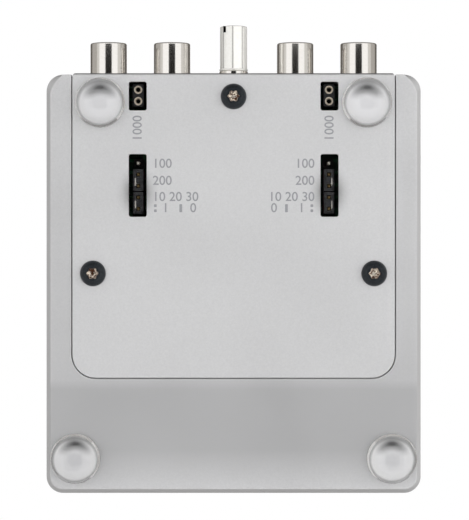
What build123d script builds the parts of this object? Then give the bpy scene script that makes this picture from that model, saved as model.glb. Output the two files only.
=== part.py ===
from build123d import *
import os
from math import cos, radians

# Phono preamplifier: a low aluminium housing, closed from below by an inset base tray whose
# rear edge is bent up as the connector panel. Jumpers and plug-in load sockets are reached
# through windows in the tray. Millimetres, +Z up, front towards -Y. The origin is the middle
# of the overall length and width, at the height where the feet rest.

# ---------------------------------------------------------------- driving dimensions
# Housing
body_width = 83.0
body_depth = 92.8
body_height = 21.0
corner_radius = 3.7
edge_bevel = 1.0
corner_bevel = 1.3          # bevel width at the middle of a rear corner
bevel_run_out = 4.1         # where the side bevel starts to die out, from the rear face
side_wall = 4.2
front_wall = 4.5
roof_thickness = 2.4
floor_thickness = 3.5       # front floor and the lips that carry the tray
lip_width = 2.6
cavity_radius = 4.0
boss_radius = 3.2

# Base tray
tray_width = 71.4
tray_depth = 67.5
tray_thickness = 1.5
tray_front_radius = 5.2
tray_rear_radius = 0.7
bend_outer_radius = 0.8
bend_inner_radius = 0.3
tray_proud = 0.3            # rear panel stands behind the housing's rear face
seam_gap = 0.25
panel_top_gap = 0.2

# Windows in the tray, measured from the housing's rear face
window_inset = 14.45        # from the tray's sides to the middle of the windows
window_width = 4.0
window_radius = 0.5
load_window_length = 6.4
load_window_setback = 4.8
selector_window_length = 13.9
selector_window_setback = 24.6

# Feet
foot_diameter = 11.1
foot_height = 5.0
foot_rim = 0.5
foot_dome_radius = 4.7      # of the side's round, in section
foot_flat_radius = 1.0
front_foot_side_inset = 6.45    # from the housing's sides
front_foot_inset = 7.7          # from the front face
rear_foot_side_inset = 6.15     # from the tray's sides
rear_foot_setback = 6.25        # from the rear face

# Tray screws
screw_head_diameter = 5.7
screw_head_height = 1.65
screw_head_flat_radius = 1.75
screw_head_rim = 0.3
screw_head_bulge = 0.2
screw_diameter = 3.0
screw_length = 4.0
screw_recess_depth = 0.95
screw_recess_radius = 0.95
screw_lobe_radius = 0.38
side_screw_inset = 4.55     # from the tray's sides
side_screw_setback = 44.1
rear_screw_setback = 4.9
screw_hole_spare = 0.3      # tapped hole runs on past the screw's tip

# Circuit board and how it is carried
board_thickness = 1.6
board_side_gap = 1.0
board_front_gap = 0.6
board_rear_gap = 0.5
board_boss_gap = 0.5
standoff_across_flats = 4.5
standoff_foot_radius = 2.1
standoff_foot_depth = 1.0
standoff_inset = 4.5        # from the board's sides and front
rear_standoff_clearance = 2.0
board_screw_diameter = 2.5
board_screw_length = 6.0
board_screw_head_diameter = 4.5
board_screw_head_height = 1.7
board_screw_key = 1.5       # hexagon key, across flats
board_screw_key_depth = 0.9

# RCA connectors
jack_side_inset = 7.7       # from the tray's sides to the outer connectors
jack_spacing = 14.2
jack_axis_height = 6.4      # above the underside
jack_reach = 7.4            # behind the housing's rear face
jack_body_width = 8.8
jack_body_depth = 11.0
jack_body_floor_gap = 0.3
jack_body_bevel = 2.4
jack_body_edge = 0.4
shell_diameter = 8.2
shell_wall = 0.75
shell_seat = 1.5            # into the connector's body
shell_root_step = 0.25      # the shell is turned down where it passes the panel
shell_rim = 0.25
insulator_recess = 0.5
contact_outer_radius = 1.95
contact_bore_radius = 1.62
contact_recess = 1.2

# Ground terminal
terminal_reach = 11.2       # behind the housing's rear face
ground_head_diameter = 6.6
ground_head_bevel = 0.35
ground_flute_count = 24
ground_flute_depth = 0.3
ground_slot_width = 1.1
ground_slot_depth = 1.45
ground_slot_angle = -48.0   # from +X, seen from the front
ground_shank_diameter = 3.0
ground_shank_length = 7.8
ground_hole_spare = 0.5
washer_thickness = 0.95
washer_diameter = 6.3
washer_edge = 0.2

# Power inlet
dc_jack_x = 8.0
dc_jack_width = 6.0
dc_jack_depth = 10.0
dc_jack_height = 4.6
dc_jack_edge = 0.3
dc_bore_radius = 1.8
dc_bore_depth = 8.8
dc_pin_radius = 0.65
dc_pin_recess = 1.0
dc_pin_edge = 0.25
dc_panel_hole_radius = 2.1
dc_spring_width = 1.6
dc_spring_thickness = 0.3
dc_spring_length = 6.5
dc_spring_setback = 1.2

# Pin headers and jumpers
pin_spacing = 2.54
pin_count = 5
pin_size = 0.64
pin_tip = 0.15
pin_tail = 1.0              # past the board's upper face
header_base_height = 2.5
header_base_width = 2.5
header_corner = 0.45
selector_recess = 3.0       # jumper ends behind the tray's outer face
jumper_width = 2.4
jumper_length = 4.9
jumper_height = 6.0
jumper_wall = 0.42
jumper_edge = 0.25
pin_end_recess = 0.2        # pin tips behind the jumpers' open ends
clip_thickness = 0.2
clip_ring_length = 1.45
clip_height = 4.8
clip_recess = 0.35

# Load sockets
load_socket_setback = 4.45   # from the housing's rear face to the middle of the socket
load_socket_width = 2.5
load_socket_length = 5.0
load_socket_height = 8.5
load_socket_edge = 0.2
load_contact_radius = 0.93
load_bore_radius = 0.5
load_bore_depth = 5.0
load_contact_length = 6.4
load_funnel_radius = 0.72

# Parts on the board
part_gap = 1.4
film_cap_width = 7.2
film_cap_thickness = 2.5
film_cap_height = 6.5
film_cap_edge = 0.4
chip_length = 9.4
chip_width = 6.35
chip_height = 3.3
chip_stand = 0.5
chip_edge = 0.35
chip_leg_width = 1.0
chip_leg_thickness = 0.3
chip_leg_span = 7.9
chip_leg_count = 4
can_diameter = 6.3
can_height = 8.0
can_groove_height = 1.6
can_groove_depth = 0.35
can_spacing_y = 8.6
resistor_length = 6.2
resistor_radius = 1.15
resistor_stand = 0.3
resistor_waist = 0.2
resistor_cap_length = 1.3
resistor_count = 4
lead_width = 0.5
lead_span = 9.6
regulator_radius = 2.3
regulator_flat = 1.4
regulator_height = 4.6
regulator_lead_length = 1.5
regulator_lead_width = 0.4
regulator_lead_spacing = 1.27
led_width = 3.0
led_depth = 1.6
led_height = 3.0
led_lens_radius = 0.9
led_lens_reach = 0.4
led_lens_edge = 0.2
guide_diameter = 2.5
guide_gap = 0.1
guide_edge = 0.15

# Fits
fit_clearance = 0.02        # pressed, moulded in or screwed tight
running_clearance = 0.05    # turns or slides
screw_clearance = 0.15      # screw through a plain hole
shell_clearance = 0.2       # connector through the rear panel

# ---------------------------------------------------------------- shared places
rear_y = (body_depth - terminal_reach) / 2
front_y = rear_y - body_depth
panel_rear_y = rear_y + tray_proud
panel_inner_y = panel_rear_y - tray_thickness
tray_front_y = panel_rear_y - tray_depth

underside_z = foot_height
tray_top_z = underside_z + tray_thickness
lip_top_z = underside_z + floor_thickness
top_z = underside_z + body_height
roof_z = top_z - roof_thickness
panel_top_z = roof_z - panel_top_gap
selector_z = underside_z + selector_recess
header_base_z = selector_z + jumper_height
board_z = header_base_z + header_base_height
board_top_z = board_z + board_thickness
jack_z = underside_z + jack_axis_height

window_x = tray_width / 2 - window_inset
front_foot_x = body_width / 2 - front_foot_side_inset
rear_foot_x = tray_width / 2 - rear_foot_side_inset
side_screw_x = tray_width / 2 - side_screw_inset
jack_outer_x = tray_width / 2 - jack_side_inset
jack_inner_x = jack_outer_x - jack_spacing
side_screw_y = rear_y - side_screw_setback
rear_screw_y = rear_y - rear_screw_setback
boss_rear_y = panel_inner_y - fit_clearance
load_window_y = rear_y - load_window_setback
load_y = rear_y - load_socket_setback
selector_y = rear_y - selector_window_setback

screw_places = [(side_screw_x, side_screw_y), (-side_screw_x, side_screw_y), (0, rear_screw_y)]
window_xs = (-window_x, window_x)
jack_places = {
    "left_outer": -jack_outer_x,
    "left_inner": -jack_inner_x,
    "right_inner": jack_inner_x,
    "right_outer": jack_outer_x,
}
side_names = {"left": -1, "right": 1}

opening_width = tray_width + 2 * (seam_gap - lip_width)
opening_front_y = tray_front_y - seam_gap + lip_width
board_width = opening_width - 2 * board_side_gap
board_rear_y = panel_inner_y - board_rear_gap
board_front_y = opening_front_y + board_front_gap
board_depth = board_rear_y - board_front_y
jack_body_front_y = panel_inner_y - jack_body_depth
standoff_x = board_width / 2 - standoff_inset
front_standoff_y = board_front_y + standoff_inset
rear_standoff_y = jack_body_front_y - rear_standoff_clearance - standoff_across_flats / 2
standoff_places = [
    (side * standoff_x, y) for side in (-1, 1) for y in (front_standoff_y, rear_standoff_y)
]


def depth_plane(y):
    """Upright plane at depth y, drawn in (x, z); extrusions run towards the front."""
    return Plane.XZ.offset(-y)


def upright_plane(x, y):
    """Upright plane through (x, y), drawn in (x, z), for turning a profile about the vertical."""
    return Plane(origin=(x, y, 0), x_dir=(1, 0, 0), z_dir=(0, -1, 0))


def vertical_axis(x, y):
    """The vertical line through (x, y)."""
    return Axis((x, y, 0), (0, 0, 1))


def from_below(x, y, z):
    """Plane that faces down at (x, y, z), so a hole made there runs upwards."""
    return Plane(origin=(x, y, z), z_dir=(0, 0, -1))


def from_behind(x, y, z):
    """Plane that faces the rear at (x, y, z), so a hole made there runs forwards."""
    return Plane(origin=(x, y, z), z_dir=(0, 1, 0))


def body_outline(inset, corner_inset, rear_run):
    """The body's plan, inset on its sides and front but not at its rear."""
    side_x = body_width / 2 - inset
    radius = corner_radius - inset
    front_corner_y = front_y + inset + radius
    tangent_x = body_width / 2 - corner_radius
    diagonal = cos(radians(45))
    corner_step = corner_radius * (1 - diagonal) + corner_inset * diagonal
    middle_x = body_width / 2 - corner_step
    front_step = radius * (1 - diagonal)
    with BuildSketch() as outline:
        with BuildLine():
            for side in (-1, 1):
                Line((side * side_x, front_corner_y), (side * side_x, rear_y - rear_run))
                ThreePointArc(
                    (side * side_x, rear_y - rear_run),
                    (side * middle_x, rear_y - corner_step),
                    (side * tangent_x, rear_y),
                )
                ThreePointArc(
                    (side * side_x, front_corner_y),
                    (side * (side_x - front_step), front_y + inset + front_step),
                    (side * (side_x - radius), front_y + inset),
                )
            Line((-tangent_x, rear_y), (tangent_x, rear_y))
            Line((radius - side_x, front_y + inset), (side_x - radius, front_y + inset))
        make_face()
    return outline.sketch


def rear_boss_plan(margin, reach_y):
    """Draw the rear boss in the current sketch, grown by margin and run back to reach_y."""
    with Locations((0, rear_screw_y)):
        Circle(boss_radius + margin)
    with Locations((0, (rear_screw_y + reach_y) / 2)):
        Rectangle(2 * (boss_radius + margin), reach_y - rear_screw_y)


# ---------------------------------------------------------------- housing
cavity_rear_y = panel_inner_y - lip_width
cavity_front_y = front_y + front_wall
guide_z = board_top_z + led_height / 2

full_outline = body_outline(0, 0, corner_radius)
bevelled_outline = body_outline(edge_bevel, corner_bevel, bevel_run_out)

with BuildPart() as housing:
    with BuildSketch(Plane.XY.offset(underside_z)):
        add(bevelled_outline)
    with BuildSketch(Plane.XY.offset(underside_z + edge_bevel)):
        add(full_outline)
    loft(ruled=True)
    with BuildSketch(Plane.XY.offset(underside_z + edge_bevel)):
        add(full_outline)
    extrude(amount=body_height - 2 * edge_bevel)
    with BuildSketch(Plane.XY.offset(top_z - edge_bevel)):
        add(full_outline)
    with BuildSketch(Plane.XY.offset(top_z)):
        add(bevelled_outline)
    loft(ruled=True)

    # Cavity above the front floor and the lips
    with BuildSketch(Plane.XY.offset(lip_top_z)):
        with Locations((0, (cavity_front_y + cavity_rear_y) / 2)):
            RectangleRounded(body_width - 2 * side_wall, cavity_rear_y - cavity_front_y, cavity_radius)
    extrude(amount=roof_z - lip_top_z, mode=Mode.SUBTRACT)

    # Opening between the lips, run out through the rear
    with BuildSketch(Plane.XY.offset(underside_z)) as opening:
        with Locations((0, (opening_front_y + panel_rear_y) / 2)):
            Rectangle(opening_width, panel_rear_y - opening_front_y)
        fillet(opening.vertices().group_by(Axis.Y)[0], tray_front_radius - lip_width)
    extrude(amount=roof_z - underside_z, mode=Mode.SUBTRACT)

    # Seats for the base plate and for the rear panel
    with BuildSketch(Plane.XY.offset(underside_z)) as seat:
        with Locations((0, (tray_front_y - seam_gap + panel_rear_y) / 2)):
            Rectangle(tray_width + 2 * seam_gap, tray_depth + seam_gap)
        fillet(seat.vertices().group_by(Axis.Y)[0], tray_front_radius + seam_gap)
    extrude(amount=tray_thickness, mode=Mode.SUBTRACT)
    with BuildSketch(Plane.XY.offset(underside_z)):
        with Locations((0, (panel_inner_y + panel_rear_y) / 2)):
            Rectangle(tray_width + 2 * seam_gap, tray_thickness)
    extrude(amount=roof_z - underside_z, mode=Mode.SUBTRACT)

    # Columns that the tray screws and the ground screw go into
    with BuildSketch(Plane.XY.offset(tray_top_z)):
        rear_boss_plan(0, boss_rear_y)
        for side in (-1, 1):
            with Locations((side * side_screw_x, side_screw_y)):
                Circle(boss_radius)
            with Locations((side * (side_screw_x + body_width / 2 - side_wall) / 2, side_screw_y)):
                Rectangle(body_width / 2 - side_wall - side_screw_x, 2 * boss_radius)
    extrude(amount=roof_z - tray_top_z)
    for x, y in screw_places:
        with Locations(from_below(x, y, tray_top_z)):
            Hole(screw_diameter / 2 + fit_clearance, screw_length - tray_thickness + screw_hole_spare)
    ground_hole_depth = ground_shank_length + ground_hole_spare - washer_thickness - tray_thickness
    with Locations(from_behind(0, boss_rear_y, jack_z)):
        Hole(ground_shank_diameter / 2 + running_clearance, ground_hole_depth)

    # Relief for the inside of the tray's bend
    with BuildSketch(Plane.YZ):
        with Locations((panel_inner_y, tray_top_z)):
            RegularPolygon(bend_inner_radius, 4)
    extrude(amount=tray_width / 2 + seam_gap, both=True, mode=Mode.SUBTRACT)

    # Bore for the light guide
    with Locations(Plane(origin=(0, front_y, guide_z), z_dir=(0, -1, 0))):
        Hole(guide_diameter / 2 + fit_clearance, front_wall)

housing.part.label = "housing"
export_step(housing.part, "parts/housing.step")

# ---------------------------------------------------------------- base tray
with BuildPart() as base_tray:
    with BuildSketch(Plane.YZ) as tray_profile:
        with BuildLine():
            Polyline(
                (tray_front_y, underside_z),
                (panel_rear_y, underside_z),
                (panel_rear_y, panel_top_z),
                (panel_inner_y, panel_top_z),
                (panel_inner_y, tray_top_z),
                (tray_front_y, tray_top_z),
                close=True,
            )
        make_face()
        bend_outside = tray_profile.vertices().sort_by_distance((panel_rear_y, underside_z, 0))[0]
        fillet(bend_outside, bend_outer_radius)
        bend_inside = tray_profile.vertices().sort_by_distance((panel_inner_y, tray_top_z, 0))[0]
        fillet(bend_inside, bend_inner_radius)
    extrude(amount=tray_width / 2, both=True)
    with BuildSketch(Plane.XY.offset(underside_z)) as tray_plan:
        with Locations((0, (tray_front_y + panel_rear_y) / 2)):
            Rectangle(tray_width, tray_depth)
        fillet(tray_plan.vertices().group_by(Axis.Y)[0], tray_front_radius)
        fillet(tray_plan.vertices().group_by(Axis.Y)[-1], tray_rear_radius)
    extrude(amount=panel_top_z - underside_z, mode=Mode.INTERSECT)

    # Windows over the load sockets and the selector headers
    with BuildSketch(Plane.XY.offset(underside_z)):
        for x in window_xs:
            with Locations((x, load_window_y)):
                RectangleRounded(window_width, load_window_length, window_radius)
            with Locations((x, selector_y)):
                RectangleRounded(window_width, selector_window_length, window_radius)
    extrude(amount=tray_thickness, mode=Mode.SUBTRACT)

    # Screw holes and blind seats for the board's standoffs
    for x, y in screw_places:
        with Locations(from_below(x, y, underside_z)):
            Hole(screw_diameter / 2 + screw_clearance, tray_thickness)
    with BuildSketch(Plane.XY.offset(tray_top_z - standoff_foot_depth)):
        with Locations(*standoff_places):
            Circle(standoff_foot_radius + fit_clearance)
    extrude(amount=standoff_foot_depth, mode=Mode.SUBTRACT)

    # Connector holes in the rear panel
    with BuildSketch(depth_plane(panel_rear_y)):
        with Locations(*[(x, jack_z) for x in jack_places.values()]):
            Circle(shell_diameter / 2 + shell_clearance)
        with Locations((0, jack_z)):
            Circle(ground_shank_diameter / 2 + screw_clearance)
        with Locations((dc_jack_x, board_top_z + dc_jack_height / 2)):
            Circle(dc_panel_hole_radius)
    extrude(amount=tray_thickness, mode=Mode.SUBTRACT)

base_tray.part.label = "base_tray"
export_step(base_tray.part, "parts/base_tray.step")

# ---------------------------------------------------------------- feet
foot_places = {
    "foot_front_left": (-front_foot_x, front_y + front_foot_inset),
    "foot_front_right": (front_foot_x, front_y + front_foot_inset),
    "foot_rear_left": (-rear_foot_x, rear_y - rear_foot_setback),
    "foot_rear_right": (rear_foot_x, rear_y - rear_foot_setback),
}
foot_radius = foot_diameter / 2
dome_height = foot_height - foot_rim

for foot_name, (foot_x, foot_y) in foot_places.items():
    with BuildPart() as foot:
        with BuildSketch(upright_plane(foot_x, foot_y)):
            with BuildLine():
                Line((0, 0), (foot_flat_radius, 0))
                RadiusArc((foot_flat_radius, 0), (foot_radius, dome_height), -foot_dome_radius)
                Polyline((foot_radius, dome_height), (foot_radius, foot_height), (0, foot_height), (0, 0))
            make_face()
        revolve(axis=vertical_axis(foot_x, foot_y))
    foot.part.label = foot_name
    export_step(foot.part, f"parts/{foot_name}.step")

# ---------------------------------------------------------------- tray screws
with BuildPart() as tray_screws:
    for screw_x, screw_y in screw_places:
        with BuildSketch(upright_plane(screw_x, screw_y)):
            with BuildLine():
                Polyline(
                    (0, underside_z - screw_head_height),
                    (0, underside_z + screw_length),
                    (screw_diameter / 2, underside_z + screw_length),
                    (screw_diameter / 2, underside_z),
                    (screw_head_diameter / 2, underside_z),
                    (screw_head_diameter / 2, underside_z - screw_head_rim),
                )
                SagittaArc(
                    (screw_head_diameter / 2, underside_z - screw_head_rim),
                    (screw_head_flat_radius, underside_z - screw_head_height),
                    -screw_head_bulge,
                )
                Line(
                    (screw_head_flat_radius, underside_z - screw_head_height),
                    (0, underside_z - screw_head_height),
                )
            make_face()
        revolve(axis=vertical_axis(screw_x, screw_y))
    with BuildSketch(Plane.XY.offset(underside_z - screw_head_height)):
        with Locations(*screw_places):
            Circle(screw_recess_radius)
            with PolarLocations(screw_recess_radius, 6):
                Circle(screw_lobe_radius)
    extrude(amount=screw_recess_depth, mode=Mode.SUBTRACT)

tray_screws.part.label = "tray_screws"
export_step(tray_screws.part, "parts/tray_screws.step")

# ---------------------------------------------------------------- circuit board
pin_ys = [selector_y + pin_spacing * (place - (pin_count - 1) / 2) for place in range(pin_count)]
pin_hole_size = pin_size + 2 * fit_clearance

with BuildPart() as circuit_board:
    with BuildSketch(Plane.XY.offset(board_z)):
        with Locations((0, (board_front_y + board_rear_y) / 2)):
            Rectangle(board_width, board_depth)
        with BuildSketch(mode=Mode.PRIVATE) as boss_notches:
            rear_boss_plan(board_boss_gap, board_rear_y)
            with Locations((side_screw_x, side_screw_y), (-side_screw_x, side_screw_y)):
                Circle(boss_radius + board_boss_gap)
            with Locations((board_width / 2, side_screw_y), (-board_width / 2, side_screw_y)):
                Rectangle(2 * (board_width / 2 - side_screw_x), 2 * (boss_radius + board_boss_gap))
        add(boss_notches.sketch, mode=Mode.SUBTRACT)
        with Locations(*standoff_places):
            Circle(board_screw_diameter / 2 + screw_clearance, mode=Mode.SUBTRACT)
        with Locations(*[(x, y) for x in window_xs for y in pin_ys]):
            Rectangle(pin_hole_size, pin_hole_size, mode=Mode.SUBTRACT)
    extrude(amount=board_thickness)

circuit_board.part.label = "circuit_board"
export_step(circuit_board.part, "parts/circuit_board.step")

with BuildPart() as board_standoffs:
    with BuildSketch(Plane.XY.offset(tray_top_z)):
        with Locations(*standoff_places):
            RegularPolygon(standoff_across_flats / 2, 6, major_radius=False)
    extrude(amount=board_z - tray_top_z)
    with BuildSketch(Plane.XY.offset(tray_top_z - standoff_foot_depth)):
        with Locations(*standoff_places):
            Circle(standoff_foot_radius)
    extrude(amount=standoff_foot_depth)
    with Locations(*[(x, y, board_z) for x, y in standoff_places]):
        Hole(board_screw_diameter / 2 + fit_clearance, board_screw_length)

board_standoffs.part.label = "board_standoffs"
export_step(board_standoffs.part, "parts/board_standoffs.step")

with BuildPart() as board_screws:
    with BuildSketch(Plane.XY.offset(board_top_z)):
        with Locations(*standoff_places):
            Circle(board_screw_head_diameter / 2)
    extrude(amount=board_screw_head_height)
    with BuildSketch(Plane.XY.offset(board_top_z)):
        with Locations(*standoff_places):
            Circle(board_screw_diameter / 2)
    extrude(amount=-board_screw_length)
    with BuildSketch(Plane.XY.offset(board_top_z + board_screw_head_height)):
        with Locations(*standoff_places):
            RegularPolygon(board_screw_key / 2, 6, major_radius=False)
    extrude(amount=-board_screw_key_depth, mode=Mode.SUBTRACT)

board_screws.part.label = "board_screws"
export_step(board_screws.part, "parts/board_screws.step")

# ---------------------------------------------------------------- RCA connectors
shell_end_y = rear_y + jack_reach
shell_start_y = panel_inner_y - shell_seat
shell_radius = shell_diameter / 2
shell_root_radius = shell_radius - shell_root_step
shell_bore_radius = shell_radius - shell_wall
jack_body_floor_z = tray_top_z + jack_body_floor_gap
jack_body_height = board_z - jack_body_floor_z

for jack_name, x in jack_places.items():
    with BuildPart() as jack_body:
        with BuildSketch(depth_plane(panel_inner_y)):
            with Locations((x, jack_body_floor_z + jack_body_height / 2)):
                Rectangle(jack_body_width, jack_body_height)
        extrude(amount=jack_body_depth)
        lower_front_edge = jack_body.edges().filter_by(Axis.X).group_by(Axis.Z)[0].sort_by(Axis.Y)[0]
        chamfer(lower_front_edge, jack_body_bevel)
        front_uprights = jack_body.edges().filter_by(Axis.Z).group_by(Axis.Y)[0]
        chamfer(front_uprights, jack_body_edge)
        with Locations(from_behind(x, panel_inner_y, jack_z)):
            Hole(shell_root_radius + fit_clearance, shell_seat)
    jack_body.part.label = f"jack_body_{jack_name}"
    export_step(jack_body.part, f"parts/jack_body_{jack_name}.step")

    with BuildPart() as jack_shell:
        with BuildSketch(depth_plane(shell_end_y)):
            with Locations((x, jack_z)):
                Circle(shell_radius)
        extrude(amount=shell_end_y - panel_rear_y)
        chamfer(jack_shell.edges().filter_by(GeomType.CIRCLE).sort_by(Axis.Y)[-1], shell_rim)
        with BuildSketch(depth_plane(panel_rear_y)):
            with Locations((x, jack_z)):
                Circle(shell_root_radius)
        extrude(amount=panel_rear_y - shell_start_y)
        with Locations(from_behind(x, shell_end_y, jack_z)):
            Hole(shell_bore_radius, shell_end_y - shell_start_y)
    jack_shell.part.label = f"jack_shell_{jack_name}"
    export_step(jack_shell.part, f"parts/jack_shell_{jack_name}.step")

    with BuildPart() as jack_insulator:
        with BuildSketch(depth_plane(shell_end_y - insulator_recess)):
            with Locations((x, jack_z)):
                Circle(shell_bore_radius - fit_clearance)
                Circle(contact_outer_radius + fit_clearance, mode=Mode.SUBTRACT)
        extrude(amount=shell_end_y - insulator_recess - shell_start_y)
    jack_insulator.part.label = f"jack_insulator_{jack_name}"
    export_step(jack_insulator.part, f"parts/jack_insulator_{jack_name}.step")

    with BuildPart() as jack_contact:
        with BuildSketch(depth_plane(shell_end_y - contact_recess)):
            with Locations((x, jack_z)):
                Circle(contact_outer_radius)
                Circle(contact_bore_radius, mode=Mode.SUBTRACT)
        extrude(amount=shell_end_y - contact_recess - shell_start_y)
    jack_contact.part.label = f"jack_contact_{jack_name}"
    export_step(jack_contact.part, f"parts/jack_contact_{jack_name}.step")

# ---------------------------------------------------------------- ground terminal
washer_rear_y = panel_rear_y + washer_thickness
ground_head_end_y = rear_y + terminal_reach
ground_head_length = ground_head_end_y - washer_rear_y
ground_head_radius = ground_head_diameter / 2

with BuildPart() as ground_washer:
    with BuildSketch(depth_plane(washer_rear_y)):
        with Locations((0, jack_z)):
            Circle(washer_diameter / 2)
            Circle(ground_shank_diameter / 2 + running_clearance, mode=Mode.SUBTRACT)
    extrude(amount=washer_thickness)
    chamfer(ground_washer.edges().filter_by(GeomType.CIRCLE).sort_by(SortBy.RADIUS)[-2:], washer_edge)

ground_washer.part.label = "ground_washer"
export_step(ground_washer.part, "parts/ground_washer.step")

with BuildPart() as ground_screw:
    with BuildSketch(depth_plane(ground_head_end_y)):
        with Locations((0, jack_z)):
            Circle(ground_head_radius)
    extrude(amount=ground_head_length)
    head_rims = ground_screw.edges().filter_by(GeomType.CIRCLE)
    chamfer(head_rims, ground_head_bevel)
    with BuildSketch(depth_plane(ground_head_end_y)):
        with Locations((0, jack_z)):
            with PolarLocations(ground_head_radius, ground_flute_count):
                RegularPolygon(ground_flute_depth, 4)
    extrude(amount=ground_head_length, mode=Mode.SUBTRACT)
    with BuildSketch(depth_plane(ground_head_end_y)):
        with Locations(Location((0, jack_z), ground_slot_angle)):
            Rectangle(ground_head_diameter, ground_slot_width)
    extrude(amount=ground_slot_depth, mode=Mode.SUBTRACT)
    with BuildSketch(depth_plane(washer_rear_y)):
        with Locations((0, jack_z)):
            Circle(ground_shank_diameter / 2)
    extrude(amount=ground_shank_length)

ground_screw.part.label = "ground_screw"
export_step(ground_screw.part, "parts/ground_screw.step")

# ---------------------------------------------------------------- power inlet
dc_axis_z = board_top_z + dc_jack_height / 2
dc_spring_z = dc_axis_z - dc_bore_radius - dc_spring_thickness / 2
dc_spring_y = panel_inner_y - dc_spring_setback - dc_spring_length / 2

with BuildPart() as dc_jack_body:
    with BuildSketch(depth_plane(panel_inner_y)):
        with Locations((dc_jack_x, dc_axis_z)):
            Rectangle(dc_jack_width, dc_jack_height)
    extrude(amount=dc_jack_depth)
    upper_edges = dc_jack_body.edges().filter_by(Axis.Y).group_by(Axis.Z)[-1]
    chamfer(upper_edges, dc_jack_edge)
    with Locations(from_behind(dc_jack_x, panel_inner_y, dc_axis_z)):
        Hole(dc_bore_radius, dc_bore_depth)
    with Locations((dc_jack_x, dc_spring_y, dc_spring_z)):
        Box(
            dc_spring_width + 2 * fit_clearance,
            dc_spring_length + 2 * fit_clearance,
            dc_spring_thickness + 2 * fit_clearance,
            mode=Mode.SUBTRACT,
        )

dc_jack_body.part.label = "dc_jack_body"
export_step(dc_jack_body.part, "parts/dc_jack_body.step")

with BuildPart() as dc_jack_pin:
    with BuildSketch(depth_plane(panel_inner_y - dc_pin_recess)):
        with Locations((dc_jack_x, dc_axis_z)):
            Circle(dc_pin_radius)
    extrude(amount=dc_bore_depth - dc_pin_recess)
    chamfer(dc_jack_pin.edges().filter_by(GeomType.CIRCLE).sort_by(Axis.Y)[-1], dc_pin_edge)

dc_jack_pin.part.label = "dc_jack_pin"
export_step(dc_jack_pin.part, "parts/dc_jack_pin.step")

with BuildPart() as dc_jack_spring:
    with Locations((dc_jack_x, dc_spring_y, dc_spring_z)):
        Box(dc_spring_width, dc_spring_length, dc_spring_thickness)

dc_jack_spring.part.label = "dc_jack_spring"
export_step(dc_jack_spring.part, "parts/dc_jack_spring.step")

# ---------------------------------------------------------------- headers, jumpers, load sockets
pin_tip_z = selector_z + pin_end_recess
jumper_bore_width = jumper_width - 2 * jumper_wall
jumper_bore_length = jumper_length - 2 * jumper_wall
clip_width = jumper_bore_width - 2 * fit_clearance
clip_ring_inner_width = clip_width - 2 * clip_thickness
clip_ring_inner_length = clip_ring_length - 2 * clip_thickness
jumper_places = {"gain": (pin_ys[2] + pin_ys[3]) / 2, "subsonic": (pin_ys[0] + pin_ys[1]) / 2}
socket_face_z = board_z - load_socket_height

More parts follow.
